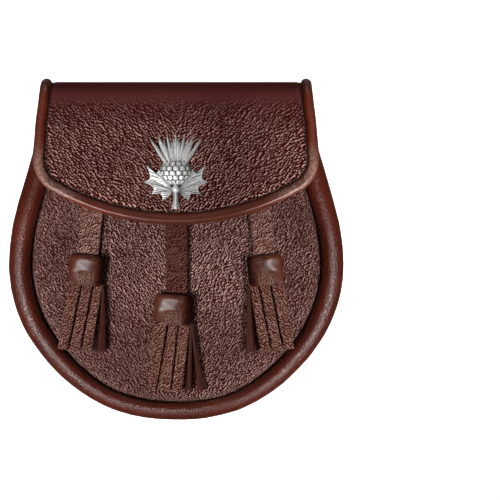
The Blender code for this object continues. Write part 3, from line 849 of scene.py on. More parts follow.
# Rows of petals: how many, their length, their foot's height, their ridge's height, half width, share of the
# spread.
PETAL_ROWS = (
    (10, 0.0146, 0.0, 0.0016, 0.00105, 0.93),
    (7, 0.0176, 0.0, 0.0022, 0.00115, 1.0),
    (6, 0.0128, 0.0006, 0.0024, 0.0009, 0.93),
)
# A petal's sections: share of its length, of its half width and of its height.
PETAL_TABLE = ((0.0, 0.75, 0.8), (0.25, 1.0, 1.0), (0.55, 0.95, 0.95), (0.80, 0.6, 0.75), (0.94, 0.28, 0.5),
               (1.0, 0.04, 0.2))
# Across a petal: share of its half width and of its height, and how proud it counts.
RIDGE_TABLE = ((-1.0, 0.0, 0.0), (-0.9, 0.35, 0.3), (-0.35, 0.8, 0.9), (0.0, 1.0, 1.0), (0.35, 0.8, 0.9),
               (0.9, 0.35, 0.3), (1.0, 0.0, 0.0))


def badge_point(x, y, z):
    return Vector((x, BADGE_Y + y, BADGE_Z + z))


def add_casting(name, part, material, smooth_angle):
    add_piece(name, part, material, "antique_silver", "badge", smooth_angle=smooth_angle)


def make_bulb(material):
    """A dome of overlapping pointed scales."""
    rings = 60
    sides = 160
    scale_rows = 6
    rows = []
    lay = []
    for r in range(rings):
        tilt = math.pi / 2 * (1 - r / rings)
        row = []
        for k in range(sides):
            turn = 2 * math.pi * k / sides
            x = math.sin(tilt) * math.cos(turn)
            y = math.sin(tilt) * math.sin(turn)
            z = math.cos(tilt)
            across = math.atan2(x, max(z, 1e-6)) / math.pi * 7.0
            up = (y + 1.0) / 2.0 * scale_rows
            level = math.floor(up)
            part = up - level
            middle = (across + 0.5 * (level % 2)) % 1.0 - 0.5
            point_shape = 1.0 - 1.25 * abs(middle) * (0.6 + part)
            proud = max(min(point_shape, 1.0), 0.0) * (0.25 + 0.75 * part)
            groove = smooth_step(0.0, 0.16, part) * smooth_step(0.5, 0.38, abs(middle))
            relief = 1.0 + 0.20 * proud * groove * min(1.0, 2.2 * z + 0.15)
            spread = 0.955 + 0.045 * relief
            lay.append((x, y, proud * groove))
            row.append(badge_point(x * BULB_HALF_WIDTH * spread, y * BULB_HALF_HEIGHT * spread,
                                   z * BULB_RELIEF * 0.86 * relief))
        rows.append(row)
    verts = [point for row in rows for point in row]
    add_casting("thistle_bulb", (verts, skin(rows, True), lay), material, 40)


def petal(root, tip, half_width, low, height):
    """A slender pointed petal with a ridge along its middle. Its lay's third number is 1 on the ridge."""
    along = (tip - root).normalized()
    across = Vector((along.y, -along.x, 0.0))
    rows = []
    for share, width, rise in PETAL_TABLE:
        center = root + (tip - root) * share
        row = []
        for out, up, proud in RIDGE_TABLE:
            point = center + across * half_width * width * out
            row.append(badge_point(point.x, point.y, low + height * rise * up))
        rows.append(row)
    lay = [(0.0, 0.0, proud) for row in rows for out, up, proud in RIDGE_TABLE]
    return [point for row in rows for point in row], skin(rows, True), lay


def make_tuft(material):
    parts = []
    for count, length, low, height, half, spread in PETAL_ROWS:
        for i in range(count):
            share = 1 - 2 * i / (count - 1)
            lean = TUFT_SPREAD * share * spread
            root = Vector((TUFT_HALF_BASE * share * 0.8, TUFT_BASE_Y - 0.0016, 0.0))
            start = Vector((TUFT_HALF_BASE * share, TUFT_BASE_Y, 0.0))
            tip = start + Vector((math.sin(lean), math.cos(lean), 0.0)) * length
            parts.append(petal(root, tip, half, low, height))
    add_casting("thistle_tuft", joined(parts), material, 35)


def half_lobe(side, notch, tip):
    """Half of a leaf's lobe, from its raised middle vein down to its edge, with side veins in low relief."""
    root = Vector((0.0008, -0.0112))
    notch = Vector(notch)
    tip = Vector(tip)
    steps = 36
    across = 7
    bow = (root - (notch + tip) / 2).normalized() * 0.12 * (tip - notch).length
    rows = []
    lay = []
    for i in range(steps + 1):
        share = i / steps
        vein = root.lerp(tip, share)
        if share < 0.5:
            edge = root.lerp(notch, 2 * share)
        else:
            part = 2 * share - 1
            edge = notch.lerp(tip, part) + bow * math.sin(math.pi * part)
        edge += (notch - tip).normalized() * 0.00004
        ridge = 0.0019 - 0.0010 * share
        low = 0.0007 - 0.0002 * share
        row = []
        for k in range(across + 1):
            out = k / across
            spot = vein.lerp(edge, out)
            ripple = math.cos(2 * math.pi * (5.5 * share - 1.3 * out)) * math.sin(math.pi * out)
            row.append((spot.x, spot.y, low + (ridge - low) * (1 - out) ** 1.5 + 0.00013 * ripple))
            lay.append((spot.x, spot.y, 0.55 + 0.55 * ripple - 0.6 * bell(out, 0.14, 0.09) + (out < 0.05)))
        row += [(edge.x, edge.y, -0.0002), (vein.x, vein.y, -0.0002)]
        lay += [(0.0, 0.0, 0.3)] * 2
        rows.append([badge_point(side * x, y, z) for x, y, z in row])
    return [point for row in rows for point in row], skin(rows, True), lay


def make_leaves(material):
    parts = [half_lobe(side, notch, tip) for side in (1, -1) for first, tip, last in LEAF_LOBES
             for notch in (first, last)]
    add_casting("thistle_leaves", joined(parts), material, 35)


def make_stem(material):
    """A ribbed stem that flares at its foot, with a collar under the bulb."""
    steps = 20
    sides = 24
    line = [badge_point(0.0, -0.0070 - 0.0144 * i / steps, 0.0) for i in range(steps + 1)]

    def section(i):
        flare = 1 + 0.75 * smooth_step(12, steps, i)
        ribs = []
        for k in range(sides):
            turn = math.pi * k / (sides - 1)
            ripple = 1 + 0.16 * abs(math.sin(3 * turn))
            ribs.append((0.00135 * flare * math.cos(turn), 0.0017 * math.sin(turn) * ripple))
        return ribs

    verts, faces, lay = sweep(line, UP, section)
    lay = [(0.0, 0.0, abs(math.sin(3 * math.pi * (i % sides) / (sides - 1)))) for i in range(len(verts))]
    collar = [[badge_point(x, -0.0100 + y, z) for x, y in round_section(sides, radius)]
              for z, radius in ((0.0, 0.0021), (0.0012, 0.0023), (0.0022, 0.0017), (0.0026, 0.0008))]
    collar_verts = [point for row in collar for point in row]
    collar_part = (collar_verts, skin(collar, True), [(0.0, 0.0, 1.0)] * len(collar_verts))
    add_casting("thistle_stem", joined([(verts, faces, lay), collar_part]), material, 40)


# ---------------------------------------------------------------- rings and tabs behind

RING_X = 0.045
RING_Y = 0.038
RING_HALF_WIDTH = 0.012
RING_SHANK = 0.004
RING_WIRE = 0.0022
RING_Z = 0.0030
TAB_WIDTH = 0.0165
TAB_LEATHER = 0.0013
TAB_END_Y = 0.0248
TAB_FLAT = 0.0082
TAB_SLOPE = 0.0048
TAB_TURN_Y = 0.0393
# Heights of the tab's middle: its inner ply, its outer ply, and where it passes under the ring's bar.
TAB_INNER_Z = 0.00485
TAB_OUTER_Z = 0.00355
TAB_LOOP_Z = 0.00105


def make_ring(name, x, material):
    half = RING_HALF_WIDTH - RING_WIRE / 2
    low = RING_Y + RING_WIRE / 2
    rounding = 0.0016
    bar = 2 * (half - rounding)
    line = [(rounding - half + bar * i / 20, low) for i in range(20)]
    corners = []
    for corner_x, start in ((half - rounding, -math.pi / 2), (rounding - half, math.pi)):
        turns = [start + math.pi / 2 * i / 6 for i in range(7)]
        corners.append([(corner_x + rounding * math.cos(turn), low + rounding + rounding * math.sin(turn))
                        for turn in turns])
    turns = [math.pi * i / 48 for i in range(1, 48)]
    bow = [(half * math.cos(turn), RING_Y + RING_SHANK + half * math.sin(turn)) for turn in turns]
    points = [Vector((x + a, b, RING_Z)) for a, b in line + corners[0] + bow + corners[1]]
    part = sweep(points, UP, lambda i: round_section(16, 0.00105), closed_line=True)
    add_piece("wire_ring_" + name, part, material, "plated_steel", "d_ring_" + name)


def tab_line(x):
    """The middle of a tab's leather, from its outer ply's end round the ring's bar to its inner ply's end."""
    rows = [(x, TAB_END_Y + TAB_FLAT * i / 10, TAB_OUTER_Z) for i in range(11)]
    for i in range(1, 11):
        rows.append((x, TAB_END_Y + TAB_FLAT + TAB_SLOPE * i / 10,
                     TAB_OUTER_Z + (TAB_LOOP_Z - TAB_OUTER_Z) * smooth_step(0, 1, i / 10)))
    middle = (TAB_INNER_Z + TAB_LOOP_Z) / 2
    reach = (TAB_INNER_Z - TAB_LOOP_Z) / 2
    for i in range(13):
        turn = -math.pi / 2 + math.pi * i / 12
        rows.append((x, TAB_TURN_Y + reach * 0.98 * math.cos(turn), middle + reach * math.sin(turn)))
    rows += [(x, TAB_TURN_Y + (TAB_END_Y - TAB_TURN_Y) * i / 12, TAB_INNER_Z) for i in range(1, 13)]
    return evenly(rows, 0.0006)


def make_tab(name, x, material, thread):
    line = [Vector(row) for row in tab_line(x)]
    ups = []
    for i in range(len(line)):
        along = line[min(i + 1, len(line) - 1)] - line[max(i - 1, 0)]
        ups.append(along.cross(Vector((1.0, 0.0, 0.0))).normalized())

    bar = [(a, b - TAB_LEATHER / 2) for a, b in rounded_bar(TAB_WIDTH, TAB_LEATHER, 0.0004, flat_steps=8)]
    add_piece("tab_leather_" + name, sweep(line, ups, lambda i: bar, flat=True), material, "smooth_leather",
              "ring_tab_" + name)
    face_z = TAB_OUTER_Z - TAB_LEATHER / 2
    half = TAB_WIDTH / 2 - 0.0024
    low = TAB_END_Y + 0.0020
    high = TAB_END_Y + 0.0080
    corners = [Vector((x + a, y, face_z))
               for a, y in ((-half, low), (half, low), (half, high), (-half, high), (-half, low))]
    runs = []
    for a, b in zip(corners, corners[1:]):
        seam = [a.lerp(b, i / 10) for i in range(-1, 12)]
        runs.append(thread_stitches(seam, [-UP] * len(seam), 0.0021, 0.0016, 0.00030, 0.0001))
    add_piece("tab_stitches_" + name, joined(runs), thread, "smooth_leather")


# ---------------------------------------------------------------- materials


class Field:
    """A number, colour or point that changes over a surface. Sums and products of fields add Math nodes."""

    def __init__(self, tree, socket):
        self.tree = tree
        self.socket = socket

    def __add__(self, other):
        return calc("ADD", self, other)

    def __sub__(self, other):
        return calc("SUBTRACT", self, other)

    def __rsub__(self, other):
        return calc("SUBTRACT", other, self)

    def __mul__(self, other):
        return calc("MULTIPLY", self, other)

    def __truediv__(self, other):
        return calc("DIVIDE", self, other)

    def __rtruediv__(self, other):
        return calc("DIVIDE", other, self)

    def __abs__(self):
        return calc("ABSOLUTE", self)


def set_inputs(tree, node, values):
    """Sets a node's sockets, by name or number, to fields or to plain values."""
    for key, value in values.items():
        if isinstance(value, Field):
            tree.links.new(value.socket, node.inputs[key])
        else:
            node.inputs[key].default_value = value


def add_node(tree, kind, inputs=None, **settings):
    made = tree.nodes.new(kind)
    for name, value in settings.items():
        setattr(made, name, value)
    set_inputs(tree, made, inputs or {})
    return made


def field(tree, kind, inputs=None, output=0, **settings):
    """One output of a new node."""
    return Field(tree, add_node(tree, kind, inputs, **settings).outputs[output])


def calc(operation, a, b=0.0):
    tree = (a if isinstance(a, Field) else b).tree
    return field(tree, "ShaderNodeMath", {0: a, 1: b}, operation=operation)


def calc_vector(operation, a, b, output=0):
    return field(a.tree, "ShaderNodeVectorMath", {0: a, 1: b}, output, operation=operation)


def split(point):
    made = add_node(point.tree, "ShaderNodeSeparateXYZ", {0: point})
    return [Field(point.tree, part) for part in made.outputs]


def combine(x, y, z):
    return field(x.tree, "ShaderNodeCombineXYZ", {0: x, 1: y, 2: z})


def ramp(value, low, high, to_low=0.0, to_high=1.0):
    inputs = {"Value": value, "From Min": low, "From Max": high, "To Min": to_low, "To Max": to_high}
    return field(value.tree, "ShaderNodeMapRange", inputs, interpolation_type="SMOOTHSTEP")


def blend(share, first, second):
    """Mixes two colours, each a field or red, green and blue."""
    first, second = [color if isinstance(color, Field) else (*color, 1.0) for color in (first, second)]
    return field(share.tree, "ShaderNodeMix", {0: share, 6: first, 7: second}, 2, data_type="RGBA")


def shade(color, factor):
    return [channel * factor for channel in color]


def noise_value(point, per_metre, detail=2.0, roughness=0.5):
    inputs = {"Vector": point, "Scale": per_metre, "Detail": detail, "Roughness": roughness}
    return field(point.tree, "ShaderNodeTexNoise", inputs)


def new_group(name, results, **numbers):
    """A shader node group that reads a point and the given numbers: it, its inputs and its output node."""
    group = bpy.data.node_groups.new(name, "ShaderNodeTree")
    group.interface.new_socket("Point", in_out="INPUT", socket_type="NodeSocketVector")
    for label, value in numbers.items():
        socket = group.interface.new_socket(label, in_out="INPUT", socket_type="NodeSocketFloat")
        socket.default_value = value
    for label in results:
        group.interface.new_socket(label, in_out="OUTPUT", socket_type="NodeSocketFloat")
    start = group.nodes.new("NodeGroupInput")
    given = {label: Field(group, start.outputs[label]) for label in ("Point", *numbers)}
    return group, given, group.nodes.new("NodeGroupOutput")


def use_group(group, point, **numbers):
    made = add_node(point.tree, "ShaderNodeGroup", {"Point": point, **numbers}, node_tree=group)
    return {socket.name: Field(point.tree, socket) for socket in made.outputs}


# How far along the pattern the right half's grain is read.
OTHER_HALF = 0.0437


def make_pebble_group():
    """Pebbles of printed leather grain, alike on both halves of the pouch.

    The pale crown of each pebble is partly the leather's two-tone colour and partly a painted highlight: its
    pale side is the side turned to the lamps. Facing is the way a pebble's pale side looks, against its own
    length. Lit, Dome and Fine are the shares of that side, of the pebble's rise and of finer creases, so many
    to the metre. Tone is how much one pebble differs from the next. Level is the value from which leather
    counts as a crown, and Edge how softly that starts. Wander is how far the pattern strays.
    """
    group, given, result = new_group(
        "pebble grain", ("Height", "Pale tops and glints"), Length=0.0018, Width=0.0018, Slant=1.0, Facing=1.2, Lit=0.6,
        Dome=0.35, Fine=0.8, Creases=820.0, Level=0.5, Edge=0.25, Tone=0.15, Wander=0.0030)
    point, level, edge = given["Point"], given["Level"], given["Edge"]
    drift = field(group, "ShaderNodeTexNoise", {"Vector": point, "Scale": 60.0, "Detail": 2.0}, "Color")
    offset = calc_vector("SUBTRACT", drift, (0.5, 0.5, 0.5))
    push = field(group, "ShaderNodeVectorMath", {0: offset, "Scale": given["Wander"]}, operation="SCALE")
    x, y, z = split(calc_vector("ADD", point, push))
    # The pattern and its painted lit side are mirrored on the right half. The right half reads another part
    # of the pattern, so that the two don't meet as mirror pictures.
    mirrored = combine(abs(x), y + calc("GREATER_THAN", x, 0.0) * OTHER_HALF, z)
    turned = field(group, "ShaderNodeVectorRotate", {"Vector": mirrored, "Angle": given["Slant"] * -1.0},
                   rotation_type="Z_AXIS")
    size = combine(given["Length"], given["Width"], 1.0)
    cell = calc_vector("DIVIDE", turned, size)
    pebble = add_node(group, "ShaderNodeTexVoronoi", {"Vector": cell, "Scale": 1.0, "Randomness": 0.88},
                      voronoi_dimensions="2D").outputs
    away, color, middle = [Field(group, pebble[label]) for label in ("Distance", "Color", "Position")]
    from_middle = calc_vector("MULTIPLY", calc_vector("SUBTRACT", cell, middle), size)
    # Painted highlight: the side of each pebble towards Facing is made pale, as if lit.
    toward = combine(calc("COSINE", given["Facing"]), calc("SINE", given["Facing"]), 0.0)
    reach = calc_vector("DOT_PRODUCT", from_middle, toward, "Value")
    lit = reach / (calc("SQRT", given["Length"] * given["Width"]) * 0.5) * given["Lit"]
    rise = 1.0 - away / 0.7
    creases = noise_value(point, given["Creases"], 2.0, 0.6) - 0.5
    fine = creases * 3.0 * given["Fine"]
    tone = (split(color)[0] - 0.5) * 2.0 * given["Tone"]
    value = (lit + rise * given["Dome"]) + (fine + tone)
    set_inputs(group, result, {"Height": ramp(rise, 0.1, 0.8) + creases * 0.8,
                               "Pale tops and glints": ramp(value, level - edge, level + edge)})
    return group


def make_skin_group():
    """The fine pores and creases of smooth leather. The creases run across a roll."""
    group, given, result = new_group("smooth skin", ("Height", "Speckle"), Crease=0.0011, Reach=2.4)
    inverse = 1.0 / given["Crease"]
    long_way = inverse / given["Reach"]
    stretched = calc_vector("MULTIPLY", given["Point"], combine(inverse, long_way, long_way))
    creases = noise_value(stretched, 1.0, 4.0, 0.62)
    pores = field(group, "ShaderNodeTexVoronoi", {"Vector": given["Point"], "Scale": 1500.0}, "Distance")
    set_inputs(group, result, {"Height": creases * 0.8 + ramp(pores, 0.0, 0.55) * 0.2,
                               "Speckle": ramp(creases, 0.40, 0.62)})
    return group


def make_mottle_group():
    """Uneven dye: broad clouds with finer ones in them, from 0 to 1."""
    group, given, result = new_group("uneven dye", ("Cloud",), Broad=28.0, Fine=190.0)
    broad = noise_value(given["Point"], given["Broad"], 2.0)
    fine = noise_value(given["Point"], given["Fine"], 3.0, 0.6)
    set_inputs(group, result, {"Cloud": ramp(broad * 0.6 + fine * 0.4, 0.36, 0.64)})
    return group


def make_edges_and_hollows_group():
    """Rubbed edges: 1 on sharp outward edges, broken up by noise, and 1 in Hollow in the deepest creases."""
    group, given, result = new_group("rubbed edges", ("Rubbed", "Hollow"), Low=0.53, High=0.60)
    bend = field(group, "ShaderNodeNewGeometry", output="Pointiness")
    patches = ramp(noise_value(given["Point"], 420.0, 3.0), 0.35, 0.6)
    set_inputs(group, result, {"Rubbed": ramp(bend, given["Low"], given["High"]) * patches,
                               "Hollow": ramp(bend, 0.48, 0.42)})
    return group


PEBBLES = make_pebble_group()
SKIN = make_skin_group()
MOTTLE = make_mottle_group()
EDGES_AND_HOLLOWS = make_edges_and_hollows_group()

# Stretched leather over the flap's fold, where the grain is pulled flat. Its plain tone there, without the
# pale crowns, is also painted shade where the fold turns from the lamps.
FOLD_COLOR = (0.086, 0.0205, 0.0185)
# Leather that is rubbed on its edges, and a painted highlight on a roll's corner.
RUBBED_COLOR = (0.16, 0.07, 0.05)
CORNER_HIGHLIGHT_COLOR = (0.300, 0.168, 0.132)
# Painted shade on the heads' flanks by the pouch's middle, the side turned from the lamps.
FLANK_SHADE_COLOR = (0.006, 0.0022, 0.0016)


def new_material(name):
    """A material, its Principled shader, its leather's place before it is bent, and the object's space."""
    material = bpy.data.materials.new(name)
    material.use_nodes = True
    tree = material.node_tree
    laid = field(tree, "ShaderNodeAttribute", output="Vector", attribute_name="lay")
    return material, tree.nodes["Principled BSDF"], laid, field(tree, "ShaderNodeTexCoord", output="Object")


def finish_surface(shader, height, distance, looks):
    """Sets the shader's sockets by their names, and a bump of the given distance."""
    bump = field(height.tree, "ShaderNodeBump", {"Height": height, "Distance": distance, "Strength": 1.0})
    set_inputs(height.tree, shader, {**looks, "Normal": bump})


def grained_leather(name, valley, crown, depth, grain, patches, fade=None, pale=None, gloss=0.05):
    """Leather with a printed pebble grain, in paler patches: their number per metre, and how dim the rest is.

    fade gives the two heights between which the grain dies out. pale gives a painted sheen and shade: where
    the crowns are palest, from how far off the middle to how near and from which height to which, and what is
    left of them elsewhere.
    """
    material, shader, point, _ = new_material(name)
    pebbles = use_group(PEBBLES, point, **grain)
    cloud = use_group(MOTTLE, point)["Cloud"]
    edges_and_hollows = use_group(EDGES_AND_HOLLOWS, point)
    patchy = ramp(noise_value(point, patches[0], 2.0), 0.34, 0.60, patches[1], 1.0)
    mask = pebbles["Pale tops and glints"] * patchy * ramp(cloud, 0.0, 1.0, 0.76, 1.0)
    across, up, _ = split(point)
    # Painted sheen and shade: the crowns are left palest in one place and dimmed elsewhere, after where the
    # lamps' light falls.
    if pale:
        bright = ramp(abs(across), pale[0], pale[1]) * ramp(up, pale[2], pale[3])
        mask *= ramp(bright, 0.0, 1.0, pale[4], 1.0)
    roughness = ramp(mask, 0.0, 1.0, 0.32, 0.26)
    height = pebbles["Height"]
    dark = blend(cloud * 0.45, valley, shade(valley, 1.45))
    # Over the fold the grain dies out to a plain tone: partly leather pulled flat, partly painted shade where
    # the fold turns from the lamps.
    if fade:
        kept = ramp(up, *fade, 1.0, 0.0)
        mask *= kept
        height *= ramp(up, *fade, 1.0, 0.06)
        dark = blend(kept, FOLD_COLOR, dark)
        roughness += ramp(kept, 1.0, 0.0, 0.0, 0.5)
    # The pale crowns are partly the leather's two-tone colour and partly a painted highlight on each pebble's
    # lit side.
    color = blend(edges_and_hollows["Rubbed"] * 0.35, blend(mask, dark, crown), shade(crown, 1.3))
    finish_surface(shader, height, depth,
                   {"Base Color": color, "Roughness": roughness, "Specular IOR Level": gloss})
    return material


def painted_corner_highlight(here, outward, x, y, full, fading):
    """A painted highlight's mask round a place mirrored across the middle: all of it to one distance, none
    from the next.
    """
    across, up, _ = split(here)
    aside = abs(across) - x
    above = up - y
    away = calc("SQRT", aside * aside + above * above)
    patches = ramp(noise_value(here, 620.0, 4.0), 0.40, 0.60, 0.30, 1.0)
    return (ramp(away, fading, full) * ramp(outward, -0.0040, -0.0014) * ramp(outward, 0.0052, 0.0034)
            * patches)


def smooth_leather(name, deep, warm, rough, depth, crease=0.0011, reach=2.4, laid=True, gloss=0.40,
                   corner=None, polish=None):
    """Polished leather with fine creases and pores, a redder dye in clouds, and paler rubbed edges.

    corner is a place where a pale highlight is painted on a roll: x, y, how far all of it is pale, and how
    far that fades.
    polish gives the places round a roll, out from its top, between which a polish comes on, and its weight
    and roughness.
    """
    material, shader, laid_point, here = new_material(name)
    point = laid_point if laid else here
    surface = use_group(SKIN, point, Crease=crease, Reach=reach)
    pebbles = use_group(PEBBLES, point, Length=0.00125, Width=0.0010, Wander=0.0005)
    cloud = use_group(MOTTLE, point, Broad=45.0, Fine=260.0)["Cloud"]
    edges_and_hollows = use_group(EDGES_AND_HOLLOWS, point)
    color = blend(cloud, deep, warm)
    color = blend(surface["Speckle"] * 0.5, color, shade(warm, 1.5))
    # Pale pebble tops: partly the leather's colour, partly a painted highlight on their lit side.
    color = blend(pebbles["Pale tops and glints"] * 0.35, color, shade(warm, 2.0))
    color = blend(edges_and_hollows["Rubbed"] * 0.25, color, RUBBED_COLOR)
    # Darker in the deepest creases.
    color = blend(edges_and_hollows["Hollow"] * 0.6, color, shade(deep, 0.35))
    looks = {"Roughness": ramp(surface["Speckle"], 0.0, 1.0, *rough), "Specular IOR Level": gloss}
    outward = split(point)[1]
    # Painted highlight: the roll's corner is made pale where the lamps' highlight lies.
    if corner:
        color = blend(painted_corner_highlight(here, outward, *corner), color, CORNER_HIGHLIGHT_COLOR)
    if polish:
        looks["Coat Weight"] = ramp(outward, polish[0], polish[1], 0.0, polish[2])
        looks["Coat Roughness"] = polish[3]
    height = surface["Height"] * 0.4 + pebbles["Height"] * 0.6
    finish_surface(shader, height, depth, {"Base Color": color, **looks})
    return material


def wrapped_leather(name, deep, warm, rough, valley, crown):
    """A tassel's head: smooth leather, grained in a band beside its crest and all over below its pinch."""
    material, shader, point, _ = new_material(name)
    surface = use_group(SKIN, point, Crease=0.0014, Reach=1.6)
    cloud = use_group(MOTTLE, point, Broad=60.0, Fine=300.0)["Cloud"]
    edges_and_hollows = use_group(EDGES_AND_HOLLOWS, point)
    pebbles = use_group(PEBBLES, point, Length=0.0008, Width=0.0011, Level=0.42)
    down, across, _ = split(point)
    wander = (noise_value(point, 330.0, 3.0) - 0.5) * 0.006
    drop = down + wander
    inward = across + wander
    edges = (calc("MAXIMUM", -0.0040 - inward, 0.0) + calc("MAXIMUM", inward - 0.0045, 0.0)) * 4.0
    low = ramp(drop - edges, 0.0092, 0.0126)
    band = ramp(inward, 0.0006, 0.0020) * ramp(inward, 0.0058, 0.0046) * ramp(drop, 0.0010, 0.0026, 0.0, 0.5)
    grained = calc("MAXIMUM", low, band)
    # Darker in the deepest creases.
    smooth = blend(edges_and_hollows["Hollow"] * 0.5, blend(cloud, deep, warm), shade(deep, 0.35))
    # Pale pebble tops: partly the leather's colour, partly a painted highlight on their lit side.
    shown = blend(grained, smooth, blend(pebbles["Pale tops and glints"], valley, crown))
    # Painted shade: the flank by the pouch's middle, turned from the lamps, is darkened towards this colour.
    shown = blend(ramp(inward, 0.0050, 0.0098, 0.0, 0.88), shown, FLANK_SHADE_COLOR)
    creased = surface["Height"] * 0.16
    height = field(point.tree, "ShaderNodeMix", {0: grained, 2: creased, 3: pebbles["Height"]})
    # The polish is on the crest and the outer side, and the flank by the pouch's middle is left dull.
    finish_surface(shader, height, 0.00024,
                   {"Base Color": shown, "Roughness": ramp(surface["Speckle"], 0.0, 1.0, *rough),
                    "Coat Weight": ramp(inward, 0.0036, 0.0084, 0.33, 0.0), "Coat Roughness": 0.30,
                    "Specular IOR Level": 0.03})
    return material


def cast_silver():
    """Frosted cast metal, bright where it is proud and dark with tarnish in its hollows."""
    material, shader, laid, point = new_material("cast silver")
    edges_and_hollows = use_group(EDGES_AND_HOLLOWS, point, Low=0.50, High=0.56)
    spots = noise_value(point, 900.0, 4.0, 0.6)
    proud = split(laid)[2]
    tarnish = calc("MAXIMUM", ramp(proud + spots * 0.3, 0.62, 0.22), edges_and_hollows["Hollow"])
    color = blend(ramp(spots, 0.38, 0.66), (0.56, 0.56, 0.55), (0.74, 0.74, 0.73))
    color = blend(edges_and_hollows["Rubbed"] * 0.6, color, (0.85, 0.85, 0.84))
    color = blend(tarnish, color, (0.036, 0.032, 0.030))
    finish_surface(shader, spots, 0.00004, {"Base Color": color, "Metallic": 0.45,
                                            "Roughness": ramp(tarnish, 0.0, 1.0, 0.48, 0.62)})
    return material


def plated_metal():
    """Plated wire with fine scratches."""
    material, shader, _, point = new_material("plated metal")
    scratches = noise_value(point, 1300.0, 5.0, 0.7)
    color = blend(ramp(scratches, 0.35, 0.65), (0.60, 0.60, 0.61), (0.74, 0.74, 0.74))
    finish_surface(shader, scratches, 0.00002, {"Base Color": color, "Metallic": 1.0,
                                                "Roughness": ramp(scratches, 0.3, 0.7, 0.18, 0.34)})
    return material


def waxed_thread(name, dark, pale):
    """Twisted waxed thread."""
    material, shader, _, point = new_material(name)
    strands = noise_value(point, 2600.0, 2.0)
    color = blend(ramp(strands, 0.35, 0.65), dark, pale)
    finish_surface(shader, strands, 0.0001, {"Base Color": color, "Roughness": 0.55})
    return material


def paper_floor():
    """A pale studio floor. It is bright to the eye, but throws little light back at the leather."""
    material, shader, _, point = new_material("studio floor")
    tree = material.node_tree
    color = blend(noise_value(point, 60.0, 3.0), (0.80, 0.80, 0.80), (0.83, 0.83, 0.83))
    set_inputs(tree, shader, {"Base Color": color, "Roughness": 0.9, "Specular IOR Level": 0.1,
                              "Emission Color": (1.0, 1.0, 1.0, 1.0), "Emission Strength": 0.97})
    dim = field(tree, "ShaderNodeBsdfDiffuse", {"Color": (0.25, 0.25, 0.25, 1.0)})
    seen = field(tree, "ShaderNodeLightPath", output="Is Camera Ray")
    either = field(tree, "ShaderNodeMixShader", {0: seen, 1: dim, 2: Field(tree, shader.outputs[0])})
    set_inputs(tree, tree.nodes["Material Output"], {"Surface": either})
    return material


# ---------------------------------------------------------------- studio

# The four softboxes over the pouch each hang close over a quarter of it, so that their light stays there.
# Name, direction towards the lamp, what it aims at, distance, width and height, watts, spread in degrees.
LAMPS = (
    ("softbox left", (-0.46, -0.27, 0.85), (-0.0475, -0.0525, 0.03), 0.09, 0.140, 0.140, 0.080, 32),
    ("softbox right", (0.46, -0.27, 0.85), (0.0775, -0.0525, 0.03), 0.09, 0.086, 0.140, 0.050, 32),
    ("softbox left above", (-0.34, -0.60, 0.72), (-0.0475, 0.0725, 0.03), 0.09, 0.140, 0.082, 0.050, 32),
    ("softbox right above", (0.34, -0.60, 0.72), (0.0775, 0.0725, 0.03), 0.09, 0.086, 0.082, 0.032, 32),
    ("softbox low", (0.0, -0.86, 0.50), (0.0, -0.01, 0.03), 0.70, 0.45, 0.20, 0.12, 90),
    ("softbox behind", (0.0, 0.90, 0.43), (0.0, 0.094, 0.022), 0.12, 0.210, 0.050, 0.024, 80),
)
# The camera looks straight down, with the pouch at the left of a square picture of this side.
LENS = 300.0
SENSOR = 36.0
PICTURE_SIDE = 500 * 0.000568
PICTURE_X = 0.0419
PICTURE_Y = -0.0006


def make_studio():
    mesh = build_mesh("floor", [(-2, -2, 0), (2, -2, 0), (2, 2, 0), (-2, 2, 0)], [(0, 1, 2, 3)])
    mesh.materials.append(paper_floor())
    add_object("floor", mesh)
    for name, direction, aim, distance, width, height, power, spread in LAMPS:
        light = bpy.data.lights.new(name, "AREA")
        light.shape = "RECTANGLE"
        light.size = width
        light.size_y = height
        light.energy = power
        light.spread = math.radians(spread)
        lamp = add_object(name, light)
        towards = Vector(direction).normalized()
        across = Vector((0.0, 1.0, 0.0)).cross(towards).normalized()
        turn = Matrix((across, towards.cross(across), towards)).transposed()
        lamp.matrix_world = Matrix.Translation(Vector(aim) + towards * distance) @ turn.to_4x4()
        lamp.visible_camera = False
    world = bpy.data.worlds.new("studio")
    bpy.context.scene.world = world
    world.use_nodes = True
    tree = world.node_tree
    seen = field(tree, "ShaderNodeLightPath", output="Is Camera Ray")
    strength = field(tree, "ShaderNodeMapRange", {"Value": seen, "To Min": 0.03, "To Max": 1.0})
    set_inputs(tree, tree.nodes["Background"], {"Color": (1.0, 1.0, 1.0, 1.0), "Strength": strength})
    bpy.context.scene.view_settings.view_transform = "Standard"


def make_camera():
    camera = bpy.data.cameras.new("camera")
    camera.lens = LENS
    camera.sensor_width = SENSOR
    camera.clip_end = 10.0
    holder = add_object("camera", camera)
    holder.location = (PICTURE_X, PICTURE_Y, RIM_Z + PICTURE_SIDE * LENS / SENSOR)
    bpy.context.scene.camera = holder


# ---------------------------------------------------------------- everything


